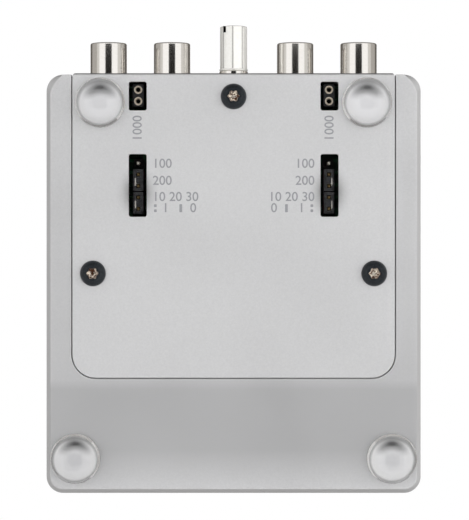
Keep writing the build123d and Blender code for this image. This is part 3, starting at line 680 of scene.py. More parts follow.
@dataclass(frozen=True)
class BandedFinish(Finish):
    """Lacquered body with colour bands across its length."""

    band_colour: Colour = (0.3, 0.02, 0.01)
    band_pitch: float = 1.24 * MM
    band_share: float = 0.3

    def _paint(self, sheet: NodeSheet, grain: Socket) -> Socket:
        """Body colour with bands at an even pitch.

        Args:
            sheet: The material's sheet.
            grain: The grain's mask.

        Returns:
            The colour.
        """
        along = sheet.math("DIVIDE", sheet.parts(sheet.place())[0], self.band_pitch)
        band = sheet.math("LESS_THAN", sheet.math("FRACT", along), self.band_share)
        return sheet.blend(band, super()._paint(sheet, grain), self.band_colour)


@dataclass(frozen=True)
class FootAdhesive(Finish):
    """White adhesive film under a clear foot, partly painted light: whiter towards its rim where the dome
    focuses light, with painted shade on the metal round it and a painted shade crescent along its rear edge.
    """

    roughness: float = 0.55
    relief: float = 0.004
    # Painted light and shade: a highlight towards the film's rim, shade on the metal round it and a dark
    # crescent along its rear edge.
    rim_colour: Colour = (0.9, 0.9, 0.9)
    bare_colour: Colour = (0.4, 0.4, 0.4)
    pocket_colour: Colour = (0.12, 0.12, 0.12)
    stretch: float = 1.4
    film_radii: Point = (0.9, 0.86)
    film_shift: float = 0.05
    pocket_ring: float = 0.63
    pocket_radii: Point = (0.27, 0.7)

    def _paint(self, sheet: NodeSheet, grain: Socket) -> Socket:
        """Film with a painted highlight towards its rim, painted shade on the metal round it and a painted
        shade crescent on it.

        Args:
            sheet: The material's sheet.
            grain: The grain's mask.

        Returns:
            The colour.
        """
        x, y, _ = sheet.parts(sheet.add("UVMap", uv_map="disc_place").outputs["UV"])
        across = sheet.product(x, self.stretch)
        along = sheet.product(y, self.stretch)
        out = sheet.distance((across, sheet.math("ADD", along, self.film_shift)), self.film_radii)
        film = super()._paint(sheet, grain)
        # Painted highlight: whiter towards the rim, where the dome focuses light.
        rim_lit = sheet.blend(sheet.spread(out, 0.25, 0.95), film, self.rim_colour)
        # Painted shade: the metal round the film, in the foot's shadow.
        ring_shaded = sheet.blend(sheet.spread(out, 0.94, 1.06), rim_lit, self.bare_colour)
        # Painted shade: a dark crescent along the rear edge, where the dome lets little light reach.
        ring = sheet.math("SUBTRACT", sheet.distance((across, along)), self.pocket_ring)
        crescent_shade = sheet.spread(sheet.distance((ring, across), self.pocket_radii), 0.15, 1.25, 1.0, 0.0)
        rear = sheet.spread(along, 0.1, 0.4)
        return sheet.blend(sheet.product(crescent_shade, rear), ring_shaded, self.pocket_colour)


@dataclass(frozen=True)
class ClearGel(Finish):
    """Clear soft polyurethane. Most light passes it, so that its shadow is weak."""

    ior: float = 1.49
    passed: float = 0.75

    def build(self) -> Material:
        """Build the material.

        Returns:
            The material.
        """
        material = bpy.data.materials.new(self.name)
        sheet = NodeSheet.of(material)
        grain = sheet.group(Effects.GRAIN, Scale=self.grain_scale, Contrast=self.grain_contrast)["Mask"]
        smear = sheet.group(Effects.GRAIN, Scale=self.smear_scale)["Height"]
        dull = self.roughness + self.roughness_swing
        shader = sheet.add(
            "BsdfPrincipled",
            Metallic=self.metallic,
            Transmission_Weight=1.0,
            IOR=self.ior,
            Base_Color=self._paint(sheet, grain),
            Roughness=sheet.spread(grain, 0.0, 1.0, self.roughness, dull),
            Normal=self._bump(sheet, smear),
        )
        ray = sheet.add("LightPath").outputs["Is Shadow Ray"]
        passing = sheet.add("BsdfTransparent", Color=(self.passed, self.passed, self.passed))
        sheet.add("OutputMaterial", Surface=sheet.mix(ray, shader, passing).outputs[0])
        return material


class FinishRack:
    """Every material of the part, built once and given out by slot."""

    def __init__(self) -> None:
        """Build the shared groups and all finishes."""
        Effects.build_all()
        self._by_slot = {slot: finish.build() for slot, finish in self._finishes().items()}
        self.ink = Finish(
            "printing_ink", srgb(140, 141, 144), srgb(130, 131, 135), roughness=0.6, relief=0.002
        ).build()
        # The rear and front films are a lit and a shaded copy of one film: the front feet's is darker,
        # painted shade for the shaded floor they stand on.
        rear = FootAdhesive(
            "foot_adhesive_rear", grey(252), srgb(248, 248, 250),
            rim_colour=grey(252), bare_colour=grey(190), pocket_colour=grey(80),
        )
        front = FootAdhesive(
            "foot_adhesive_front", grey(234), srgb(227, 227, 229),
            rim_colour=srgb(254, 254, 254), bare_colour=grey(180), pocket_colour=grey(66),
        )
        self.adhesive = {"rear": rear.build(), "front": front.build()}
        self.jumper = MouldedPlastic(
            "worn_jumper_moulding", srgb(48, 48, 50), srgb(12, 12, 14), roughness=0.42,
            grain_scale=1500.0, grain_contrast=4.0, relief=0.03, edge_colour=srgb(96, 96, 98),
        ).build()
        self.spring = PlatedMetal(
            "tinned_spring", srgb(246, 242, 234), srgb(226, 220, 208), metallic=0.35, roughness=0.3,
            relief=0.003, edge_colour=srgb(252, 250, 246),
        ).build()
        # Header pins: a darker colour, painted shade for the pins sunk in the jumper caps, and a pale zone
        # that paints a glint on the free pin.
        free_pin_glint = (20.0 * MM, 20.0 * MM + 0.1 * MM)
        self.pins = ZonedMetal(
            "header_pins", srgb(120, 102, 66), srgb(88, 74, 48), metallic=0.5, roughness=0.3, relief=0.003,
            edge_colour=srgb(150, 130, 92), axis=1, zone=free_pin_glint, zone_colour=srgb(206, 202, 191),
        ).build()
        # Earth terminal: its marked faces get painted shade in the driver slot, on the end's edge and in the
        # grooves.
        self.terminal = MarkedMetal(
            "satin_nickel", srgb(238, 237, 233), srgb(226, 224, 219), metallic=0.3, roughness=0.24,
            roughness_swing=0.04, relief=0.0015, edge_colour=srgb(250, 249, 246),
            worked_colour=srgb(40, 36, 32), stain_colour=srgb(18, 16, 14),
        ).build()
        # Load contact sleeves: the default zone paints shade deep in their bores.
        self.sleeve = ZonedMetal(
            "turned_sleeve", srgb(246, 236, 220), srgb(214, 198, 176), metallic=0.5, roughness=0.36,
            relief=0.003, edge_colour=srgb(240, 232, 216),
        ).build()

    @staticmethod
    def _finishes() -> dict[Slot, Finish]:
        """List the finish of each slot.

        Returns:
            The finishes by slot.
        """
        return {
            # The housing's shade and bevel colours are painted shade.
            Slot.HOUSING: SatinHousing(
                "blasted_housing", grey(213), grey(196), metallic=0.55, roughness=0.42, relief=0.006,
                edge_colour=grey(235), shade_colour=grey(179), bevel_colour=grey(190),
            ),
            # Painted shade on the tray round the jumper windows and along the rear bend.
            Slot.TRAY: BentTray(
                "blasted_tray", grey(210), grey(194), metallic=0.5, roughness=0.45, relief=0.005,
                edge_colour=grey(238), line_colour=grey(88),
            ),
            Slot.BLACK_STEEL: MarkedMetal(
                "blacked_steel", srgb(52, 56, 60), srgb(28, 31, 35), metallic=0.6, roughness=0.36,
                relief=0.006, edge_colour=srgb(98, 100, 104),
                worked_colour=srgb(250, 240, 226), stain_colour=srgb(84, 52, 34),
            ),
            Slot.GEL: ClearGel(
                "clear_foot_gel", srgb(253, 253, 253), grey(249), roughness=0.02, roughness_swing=0.05,
                smear_scale=500.0,
            ),
            Slot.BOARD: SolderMask(
                "board_lacquer", srgb(14, 38, 24), srgb(9, 27, 17), roughness=0.3, relief=0.004
            ),
            Slot.STEEL: PlatedMetal(
                "tinned_steel", srgb(196, 196, 198), srgb(168, 168, 172), metallic=1.0, roughness=0.3,
                relief=0.004,
            ),
            Slot.BLACK_PLASTIC: MouldedPlastic(
                "black_moulding", grey(26), grey(16), roughness=0.55, relief=0.008, edge_colour=grey(40)
            ),
            Slot.NICKEL: PlatedMetal(
                "bright_nickel", srgb(250, 247, 243), srgb(240, 236, 230), metallic=1.0, roughness=0.13,
                roughness_swing=0.03, grain_scale=900.0, grain_stretch=(1.0, 14.0, 1.0), relief=0.0015,
                edge_colour=srgb(246, 244, 240),
            ),
            Slot.WHITE_INSERT: MouldedPlastic(
                "white_insert", srgb(232, 230, 224), srgb(222, 219, 212), roughness=0.42, relief=0.004,
                edge_colour=srgb(244, 243, 240),
            ),
            Slot.RED_INSERT: MouldedPlastic(
                "red_insert", srgb(176, 24, 22), srgb(150, 18, 18), roughness=0.42, relief=0.004,
                edge_colour=srgb(206, 60, 52),
            ),
            Slot.CONTACT: PlatedMetal(
                "gilt_contact", srgb(226, 206, 166), srgb(198, 174, 132), metallic=0.8, roughness=0.3,
                relief=0.003, edge_colour=srgb(246, 228, 188),
            ),
            Slot.FILM: MouldedPlastic(
                "film_box_red", srgb(150, 34, 26), srgb(128, 26, 22), roughness=0.35,
                edge_colour=srgb(178, 66, 54),
            ),
            Slot.CAN: MouldedPlastic("can_sleeve_black", srgb(30, 31, 34), srgb(20, 21, 24), roughness=0.3),
            Slot.RESISTOR: BandedFinish(
                "resistor_lacquer", srgb(96, 136, 158), srgb(80, 120, 144), roughness=0.35
            ),
            Slot.LIGHT: ClearGel(
                "clear_light_guide", srgb(250, 252, 252), srgb(240, 244, 246), roughness=0.08,
                roughness_swing=0.1, relief=0.004,
            ),
        }

    def of(self, slot: Slot) -> Material:
        """Material of a slot."""
        return self._by_slot[slot]

    def dress_nodes(self) -> None:
        """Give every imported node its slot's material, and the jumpers' springs and pins their own."""
        own = {"_clip_": self.spring, "header_pins_": self.pins}
        for name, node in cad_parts.items():
            for place in node.material_slots:
                special = [material for part, material in own.items() if part in name]
                plain = self.of(Slot(place.material.name.split(".")[0]))
                place.material = special[0] if special else plain


# ------------------------------------------------------------------------------- modelling
class Bench:
    """Selecting, shaping and finishing steps that every sub-assembly shares."""

    @staticmethod
    def only(piece: Piece) -> None:
        """Select one object alone and make it active.

        Args:
            piece: The object.
        """
        bpy.ops.object.select_all(action="DESELECT")
        piece.select_set(True)
        bpy.context.view_layer.objects.active = piece

    @staticmethod
    @contextmanager
    def editing(piece: Piece) -> Iterator[None]:
        """Keep a piece in edit mode inside a with block.

        Args:
            piece: The piece to edit.

        Yields:
            Nothing.
        """
        Bench.only(piece)
        bpy.ops.object.mode_set(mode="EDIT")
        try:
            yield
        finally:
            bpy.ops.object.mode_set(mode="OBJECT")

    @staticmethod
    def pick(piece: Piece, kind: Pick, wanted: Callable[[object], bool]) -> int:
        """Select elements of a piece that is being edited.

        Args:
            piece: The piece in edit mode.
            kind: Vertices, edges or faces.
            wanted: Says whether an element is selected.

        Returns:
            How many were selected.
        """
        bpy.ops.mesh.select_mode(type=kind.value)
        bpy.ops.mesh.select_all(action="DESELECT")
        mesh = bmesh.from_edit_mesh(piece.data)
        elements = {Pick.VERTICES: mesh.verts, Pick.EDGES: mesh.edges, Pick.FACES: mesh.faces}[kind]
        picked = [element for element in elements if wanted(element)]
        for element in picked:
            element.select_set(True)
        mesh.select_flush_mode()
        bmesh.update_edit_mesh(piece.data)
        return len(picked)

    @staticmethod
    def heal(piece: Piece, reach: float = 0.0005 * MM) -> None:
        """Merge a piece's doubled vertices and turn its faces outwards.

        Args:
            piece: The piece to heal.
            reach: Distance under which vertices are one.
        """
        with Bench.editing(piece):
            bpy.ops.mesh.select_mode(type=Pick.VERTICES.value)
            bpy.ops.mesh.select_all(action="SELECT")
            bpy.ops.mesh.remove_doubles(threshold=reach)
            bpy.ops.mesh.normals_make_consistent(inside=False)

    @staticmethod
    def move(piece: Piece, shift: Sequence[float]) -> None:
        """Move a whole piece in edit mode, so that its origin stays.

        Args:
            piece: The piece.
            shift: How far it moves.
        """
        with Bench.editing(piece):
            bpy.ops.mesh.select_all(action="SELECT")
            bpy.ops.transform.translate(value=shift)

    @staticmethod
    def modify(piece: Piece, kind: str, **settings: object) -> None:
        """Add a modifier and apply it.

        Args:
            piece: The piece to shape.
            kind: The modifier's type.
            **settings: Its properties.
        """
        Bench.only(piece)
        modifier = piece.modifiers.new(kind.lower(), kind)
        for name, value in settings.items():
            setattr(modifier, name, value)
        bpy.ops.object.modifier_apply(modifier=modifier.name)

    @staticmethod
    def soften(piece: Piece, width: float, angle: float = 30.0) -> None:
        """Round a piece's edges that turn by more degrees than the angle."""
        rule = {"limit_method": "ANGLE", "angle_limit": math.radians(angle), "miter_outer": "MITER_ARC"}
        Bench.modify(piece, "BEVEL", width=width, segments=2, **rule)

    @staticmethod
    def smooth(piece: Piece, angle: float = 32.0) -> None:
        """Shade a piece smooth, apart from edges sharper than the angle in degrees."""
        Bench.only(piece)
        bpy.ops.object.shade_smooth_by_angle(angle=math.radians(angle))

    @staticmethod
    def even_out(piece: Piece) -> None:
        """Let large flats set the shading of the narrow roundings beside them."""
        Bench.modify(piece, "WEIGHTED_NORMAL", keep_sharp=True, weight=50, mode="FACE_AREA")

    @staticmethod
    def rename(piece: Piece, name: str) -> Piece:
        """Name a piece and its mesh.

        Args:
            piece: The piece.
            name: Its name.

        Returns:
            The piece.
        """
        piece.name = name
        piece.data.name = name
        return piece

    @staticmethod
    def place(name: str, data: bpy.types.ID) -> Piece:
        """Put a new object into the scene.

        Args:
            name: Its name.
            data: Its mesh, light or camera.

        Returns:
            The object.
        """
        piece = bpy.data.objects.new(name, data)
        bpy.context.scene.collection.objects.link(piece)
        return piece

    @staticmethod
    def plane(name: str, size: float = MM) -> Piece:
        """Add a square at the origin, to be shaped further.

        Args:
            name: Its name.
            size: Length of its sides.

        Returns:
            The square.
        """
        bpy.ops.object.select_all(action="DESELECT")
        bpy.ops.mesh.primitive_plane_add(size=size, location=(0, 0, 0))
        return Bench.rename(bpy.context.object, name)

    @staticmethod
    def draw(places: Sequence[Vector]) -> None:
        """Turn the new plane that is being edited into a line through the given points.

        Args:
            places: The line's points, in metres.
        """
        bpy.ops.mesh.select_mode(type=Pick.VERTICES.value)
        bpy.ops.mesh.select_all(action="SELECT")
        bpy.ops.mesh.merge(type="CENTER")
        bpy.ops.transform.translate(value=places[0])
        for here, there in zip(places, places[1:]):
            bpy.ops.mesh.extrude_vertices_move(TRANSFORM_OT_translate={"value": there - here})

    @staticmethod
    def lathe(name: str, profile: Sequence[Point], foot: Vector, axis: Axis, steps: int) -> Piece:
        """Turn a profile about an axis.

        Args:
            name: Name of the piece.
            profile: Radius and height of each point, in millimetres.
            foot: Point of the axis from which heights count.
            axis: Direction of the axis.
            steps: Number of faces round it.

        Returns:
            The turned piece.
        """
        up = Vector(axis.value)
        out = Vector((1.0, 0.0, 0.0))
        piece = Bench.plane(name)
        with Bench.editing(piece):
            Bench.draw([foot + out * radius * MM + up * height * MM for radius, height in profile])
            bpy.ops.mesh.select_all(action="SELECT")
            bpy.ops.mesh.spin(steps=steps, angle=TURN, center=foot, axis=up)
        Bench.heal(piece)
        return piece

    @staticmethod
    def block(name: str, low: Sequence[float], high: Sequence[float]) -> Piece:
        """Add a block between two corners, given in millimetres.

        Args:
            name: Name of the piece.
            low: Lowest corner.
            high: Highest corner.

        Returns:
            The block.
        """
        first = Vector(low) * MM
        last = Vector(high) * MM
        bpy.ops.object.select_all(action="DESELECT")
        bpy.ops.mesh.primitive_cube_add(size=1.0)
        piece = Bench.rename(bpy.context.object, name)
        with Bench.editing(piece):
            bpy.ops.mesh.select_all(action="SELECT")
            bpy.ops.transform.resize(value=last - first)
            bpy.ops.transform.translate(value=(first + last) / 2)
        return piece

    @staticmethod
    def take(node: str, name: str) -> Piece:
        """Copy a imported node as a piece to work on, merged and with its flats made whole.

        Args:
            node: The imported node.
            name: Name of the piece.

        Returns:
            The copy.
        """
        piece = Bench.rename(Bench.place(name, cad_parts[node].data.copy()), name)
        piece.data.materials.clear()
        Bench.only(piece)
        bpy.ops.mesh.customdata_custom_splitnormals_clear()
        Bench.heal(piece, reach=0.001 * MM)
        with Bench.editing(piece):
            bpy.ops.mesh.select_all(action="SELECT")
            bpy.ops.mesh.dissolve_limited(angle_limit=math.radians(0.5))
        return piece

    @staticmethod
    def cut(piece: Piece, cutter: Piece) -> None:
        """Cut one piece out of another and throw the cutter away."""
        Bench.modify(piece, "BOOLEAN", operation="DIFFERENCE", solver="EXACT", object=cutter)
        bpy.data.objects.remove(cutter)

    @staticmethod
    def mark(piece: Piece, share: Callable[[Vector], float]) -> None:
        """Mark faces that get the marked look of their finish: real wear or painted shade.

        Args:
            piece: The piece.
            share: Gives, from a face's middle, how much of that look it gets.
        """
        worked = piece.data.attributes.new("worked", "FLOAT", "FACE")
        for face in piece.data.polygons:
            worked.data[face.index].value = float(share(face.center))

    @staticmethod
    def twin(piece: Piece, name: str, shift: Vector) -> Piece:
        """Copy a piece, with a mesh of its own, to another place.

        Args:
            piece: The piece to copy.
            name: Name of the copy.
            shift: How far it moves.

        Returns:
            The copy.
        """
        other = Bench.place(name, piece.data.copy())
        other.data.transform(Matrix.Translation(shift))
        return Bench.rename(other, name)

    @staticmethod
    def join(pieces: Sequence[Piece], name: str) -> Piece:
        """Make one piece of several.

        Args:
            pieces: The pieces, which become one.
            name: Name of the whole.

        Returns:
            The whole.
        """
        Bench.only(pieces[0])
        for piece in pieces[1:]:
            piece.select_set(True)
        bpy.ops.object.join()
        return Bench.rename(pieces[0], name)


@dataclass
class SubAssembly:
    """A group of pieces that are built and dressed together."""

    rack: FinishRack

    def fit(
        self,
        piece: Piece,
        slot: Slot,
        *nodes: str,
        body: Body = Body.CHASSIS,
        material: Material | None = None,
    ) -> None:
        """Dress a piece, let it ride its body and stand for its nodes.

        Args:
            piece: The finished piece.
            slot: The record slot that it takes its finish from.
            *nodes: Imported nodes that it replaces.
            body: The body that it rides on.
            material: Material to use in place of the slot's own.
        """
        piece.data.materials.clear()
        piece.data.materials.append(material or self.rack.of(slot))
        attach(piece, body.value)
        if nodes:
            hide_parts(*nodes)
        log.info("%s: %d faces", piece.name, len(piece.data.polygons))


def centre_of(node: str) -> Vector:
    """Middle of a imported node's box, in metres."""
    low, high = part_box(node)
    return (Vector(low) + Vector(high)) / 2


def length_of(node: str, axis: int) -> float:
    """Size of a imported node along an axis, in millimetres."""
    low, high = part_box(node)
    return (high[axis] - low[axis]) / MM


# ------------------------------------------------------------------------------- sub-assemblies
@dataclass
class Casing(SubAssembly):
    """The aluminium housing and the base tray that closes it."""

    edge_round: float = 0.12
    tray_edge_round: float = 0.08
    sharp: float = 25.0
    spare: float = 0.02

    def build(self) -> None:
        """Model and dress both metal parts."""
        self._part("housing", "housing_shell", Slot.HOUSING, self.edge_round, roof=True)
        self._part("base_tray", "tray_plate", Slot.TRAY, self.tray_edge_round, roof=False)

    def _part(self, node: str, name: str, slot: Slot, width: float, roof: bool) -> None:
        """One part, with the edges of its outer faces eased.

        Args:
            node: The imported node.
            name: Name of the piece.
            slot: Its finish.
            width: Width of the rounding, in millimetres.
            roof: Whether its top is an outer face too, beside its underside and its rear.
        """
        low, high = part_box(node)
        spare = self.spare * MM
        sharp = math.radians(self.sharp)

        def outer(edge: bmesh.types.BMEdge) -> bool:
            """Whether an edge is sharp and lies on an outer face.

            Args:
                edge: The edge.

            Returns:
                True where it is rounded.
            """
            ends = [vertex.co for vertex in edge.verts]
            on_floor = all(end.z < low[2] + spare for end in ends)
            on_roof = roof and all(end.z > high[2] - spare for end in ends)
            on_rear = all(end.y > high[1] - spare for end in ends)
            turned = edge.is_manifold and edge.calc_face_angle(0.0) > sharp
            return turned and (on_floor or on_roof or on_rear)

        piece = Bench.take(node, name)
        with Bench.editing(piece):
            count = Bench.pick(piece, Pick.EDGES, outer)
            bpy.ops.mesh.bevel(
                offset=width * MM, segments=2, affect="EDGES", clamp_overlap=False, offset_type="OFFSET"
            )
        log.info("%s: %d edges rounded", piece.name, count)
        Bench.smooth(piece)
        Bench.even_out(piece)
        self.fit(piece, slot, node)


@dataclass
class Feet(SubAssembly):
    """Four clear domes, each stuck on with its own adhesive disc."""

    flat_radius: float = 1.0
    dome_radius: float = 4.7
    dome_spans: int = 22
    rim_height: float = 0.5
    disc_radius: float = 5.35
    disc_thickness: float = 0.1
    steps: int = 96

    def build(self) -> None:
        """Model the foot at each place."""
        for name in ("front_left", "front_right", "rear_left", "rear_right"):
            self._foot(name)

    def _foot(self, name: str) -> None:
        """One dome and its disc.

        Args:
            name: The foot's place.
        """
        node = f"foot_{name}"
        radius = length_of(node, 0) / 2
        height = length_of(node, 2)
        middle = centre_of(node)
        base = Vector((middle.x, middle.y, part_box(node)[0][2]))
        top = height - self.disc_thickness - 0.02
        side = (radius, height - self.rim_height)
        dome_line = arc((self.flat_radius, 0.0), side, self.dome_radius, self.dome_spans)
        profile = [(0.0, 0.0), *dome_line, (radius - 0.02, top - 0.06), (radius - 0.12, top), (0.0, top)]
        dome = Bench.lathe(f"gel_dome_{name}", profile, base, Axis.Z, self.steps)
        Bench.smooth(dome, 50)
        self.fit(dome, Slot.GEL, node)
        under = height - self.disc_thickness
        upper = height - 0.005
        edge = self.disc_radius
        ring = [(0.0, under), (edge - 0.05, under), (edge, under + 0.04), (edge, upper), (0.0, upper)]
        disc = Bench.lathe(f"adhesive_disc_{name}", ring, base, Axis.Z, self.steps)
        self._lay_out(disc, base, radius)
        Bench.smooth(disc)
        # The front feet take the shaded copy of the film, the rear feet the lit one.
        self.fit(disc, Slot.GEL, material=self.rack.adhesive[name.split("_")[0]])

    @staticmethod
    def _lay_out(disc: Piece, middle: Vector, radius: float) -> None:
        """Give a disc a UV map that runs from -1 to 1 across the foot.

        Args:
            disc: The disc.
            middle: Point of the foot's axis.
            radius: The foot's radius, in millimetres.
        """
        layer = disc.data.uv_layers.new(name="disc_place")
        for loop in disc.data.loops:
            spot = disc.data.vertices[loop.vertex_index].co - middle
            layer.data[loop.index].uv = (spot.x / (radius * MM), spot.y / (radius * MM))


@dataclass
class TrayScrews(SubAssembly):
    """Three black screws with domed heads and six-lobed recesses."""

    head_radius: float = 2.85
    head_height: float = 1.65
    rim: float = 0.3
    flat_radius: float = 1.75
    dome_radius: float = 2.2
    shank_radius: float = 1.5
    shank_length: float = 4.0
    recess_radius: float = 1.4
    recess_depth: float = 0.75
    recess_taper: float = 0.78
    floor_inset: float = 0.45
    floor_lift: float = 0.3
    lobe_depth: float = 0.2
    lobes: int = 6
    steps: int = 72

    def build(self) -> None:
        """Model one screw and set a copy at each hole."""
        low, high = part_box("tray_screws")
        seat_z = low[2] / MM + self.head_height
        side_x = high[0] / MM - self.head_radius
        side_y = low[1] / MM + self.head_radius
        rear_y = high[1] / MM - self.head_radius
        first = self._screw((side_x, side_y), seat_z)
        screws = [first]
        for number, (x, y) in enumerate([(-side_x, side_y), (0.0, rear_y)]):
            screws.append(Bench.twin(first, f"screw_{number}", Vector((x - side_x, y - side_y, 0.0)) * MM))
        whole = Bench.join(screws, "socket_screws")
        Bench.smooth(whole, 30)
        self.fit(whole, Slot.BLACK_STEEL, "tray_screws")

    def _screw(self, place: Point, seat_z: float) -> Piece:
        """One screw, head down.

        Args:
            place: Its axis.
            seat_z: Height of the face that the head bears on.

        Returns:
            The screw.
        """
        foot = Vector((place[0], place[1], seat_z)) * MM
        bottom = -self.head_height
        head = self.head_radius
        shank = self.shank_radius
        end = self.shank_length
        dome = arc((self.flat_radius, bottom), (head, -self.rim), self.dome_radius, 8)
        profile = [(0.0, bottom), *dome, (head, -0.04), (head - 0.04, 0.0)]
        profile += [(shank, 0.0), (shank, end - 0.3), (shank - 0.3, end), (0.0, end)]
        screw = Bench.lathe("screw_first", profile, foot, Axis.Z, self.steps)
        Bench.cut(screw, self._socket_tool(foot + Vector((0, 0, bottom * MM))))
        reach = (self.recess_radius + 0.02) * MM
        mouth = foot.z - (self.head_height - 0.02) * MM

        def in_recess(spot: Vector) -> bool:
            """Whether a spot lies in the recess, where the driver has rubbed the blacking off."""
            return math.hypot(spot.x - foot.x, spot.y - foot.y) < reach and mouth < spot.z < foot.z

        Bench.mark(screw, in_recess)
        return screw

    def _socket_tool(self, mouth: Vector) -> Piece:
        """The six-lobed punch that makes the recess.

        Args:
            mouth: Middle of the recess's mouth.

        Returns:
            The punch.
        """
        over = 0.3 * MM
        depth = self.recess_depth * MM
        radius = self.recess_radius * MM
        bpy.ops.object.select_all(action="DESELECT")
        bpy.ops.mesh.primitive_cylinder_add(
            vertices=self.steps, radius=radius, depth=depth + over, location=(0, 0, 0)
        )
        tool = bpy.context.object
        with Bench.editing(tool):
            mesh = bmesh.from_edit_mesh(tool.data)
            for vertex in mesh.verts:
                wave = 0.5 - 0.5 * math.cos(self.lobes * math.atan2(vertex.co.y, vertex.co.x))
                taper = self.recess_taper if vertex.co.z > 0 else 1.0
                share = taper * (1 - self.lobe_depth * wave)
                vertex.co.x *= share
                vertex.co.y *= share
            bmesh.update_edit_mesh(tool.data)
            bpy.ops.mesh.select_all(action="SELECT")
            bpy.ops.transform.translate(value=mouth + Vector((0, 0, (depth - over) / 2)))
            Bench.pick(tool, Pick.FACES, lambda face: face.normal.z > 0.9)
            bpy.ops.mesh.inset(thickness=self.floor_inset * MM)
            bpy.ops.transform.translate(value=(0, 0, self.floor_lift * MM))
        return tool


@dataclass
class Connectors(SubAssembly):
    """Four phono sockets: shells, insulators and split centre contacts."""

    shell_radius: float = 4.1
    root_radius: float = 3.85
    bore_radius: float = 3.35
    rim: float = 0.36
    inner_rim: float = 0.15
    contact_bore: float = 1.62
    contact_wall: float = 0.33
    contact_round: float = 0.04
    slot_length: float = 4.5
    slot_angle: float = 6.5
    slots: int = 4
    steps: int = 96

    def build(self) -> None:
        """Model each socket's pieces at its place."""
        for side in Side:
            for row in ("outer", "inner"):
                self._socket(side, f"{side.word}_{row}")

    def _socket(self, side: Side, name: str) -> None:
        """One socket.

        Args:
            side: The socket's channel, which its colour shows.
            name: The socket's name in its nodes.
        """
        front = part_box(f"jack_shell_{name}")[0][1]
        middle = centre_of(f"jack_shell_{name}")
        start = Vector((middle.x, front, middle.z))
        step = (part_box("base_tray")[1][1] - front) / MM
        colour = Slot.RED_INSERT if side is Side.RIGHT else Slot.WHITE_INSERT
        shell = self._shell_profile(length_of(f"jack_shell_{name}", 1), step)
        insert = self._insert_profile(length_of(f"jack_insulator_{name}", 1))
        turned = [("shell", "shell", shell, Slot.NICKEL), ("insert", "insulator", insert, colour)]
        for word, node, profile, slot in turned:
            piece = Bench.lathe(f"{word}_{name}", profile, start, Axis.Y, self.steps)
            Bench.smooth(piece, 28)
            self.fit(piece, slot, f"jack_{node}_{name}")
        self._contact(name, start)

    def _shell_profile(self, length: float, step: float) -> list[Point]:
        """Section of a shell, with a rolled lip.

        Args:
            length: Length of the shell.
            step: Length of its turned-down root.

        Returns:
            The profile.
        """
        side = self.shell_radius
        root = self.root_radius
        bore = self.bore_radius
        lip = arc((side, length - self.rim), (side - self.rim, length), self.rim, 5)
        inside = arc((bore + self.inner_rim, length), (bore, length - self.inner_rim), self.inner_rim, 4)
        profile = [(bore, 0.0), (root, 0.0), (root, step), (side - 0.06, step), (side, step + 0.06)]
        return [*profile, (side, step + side - bore), *lip, *inside]

    def _insert_profile(self, length: float) -> list[Point]:
        """Section of an insulating collar, with a raised ring round its hole.

        Args:
            length: Length of the collar.

        Returns:
            The profile.
        """
        outer = self.bore_radius - 0.02
        inner = self.contact_bore + self.contact_wall + 0.02
        side = [(inner, 0.0), (outer, 0.0), (outer, length - 0.25), (outer - 0.12, length - 0.2)]
        ring = [(inner + 0.55, length - 0.2), (inner + 0.45, length - 0.04), (inner + 0.38, length)]
        return [*side, *ring, (inner + 0.08, length), (inner, length - 0.08)]

    def _contact(self, name: str, start: Vector) -> None:
        """The sprung sleeve that grips a plug's pin, split in four at its mouth.

        Args:
            name: The socket's name.
            start: Front end of the sleeve's axis.
        """
        node = f"jack_contact_{name}"
        length = length_of(node, 1)
        slot_from = length - self.slot_length
        middle = self.contact_bore + self.contact_wall / 2
        profile = [(middle, 0.0), (middle, slot_from), (middle, length)]
        sleeve = Bench.lathe(f"contact_{name}", profile, start, Axis.Y, self.steps)
        pitch = TURN / self.slots
        slot_angle = math.radians(self.slot_angle)

        def in_slot(face: bmesh.types.BMFace) -> bool:
            """Whether a face of the sleeve lies in one of its slots.

            Args:
                face: The face.

            Returns:
                True where it is cut away.
            """
            spot = face.calc_center_median()
            angle = math.atan2(spot.z - start.z, spot.x - start.x) % pitch
            return spot.y > start.y + slot_from * MM and min(angle, pitch - angle) < slot_angle

        with Bench.editing(sleeve):
            Bench.pick(sleeve, Pick.FACES, in_slot)
            bpy.ops.mesh.delete(type="FACE")
        Bench.modify(sleeve, "SOLIDIFY", thickness=self.contact_wall * MM, offset=0.0, use_even_offset=True)
        Bench.soften(sleeve, self.contact_round * MM, 40)
        Bench.smooth(sleeve, 30)
        self.fit(sleeve, Slot.CONTACT, node)


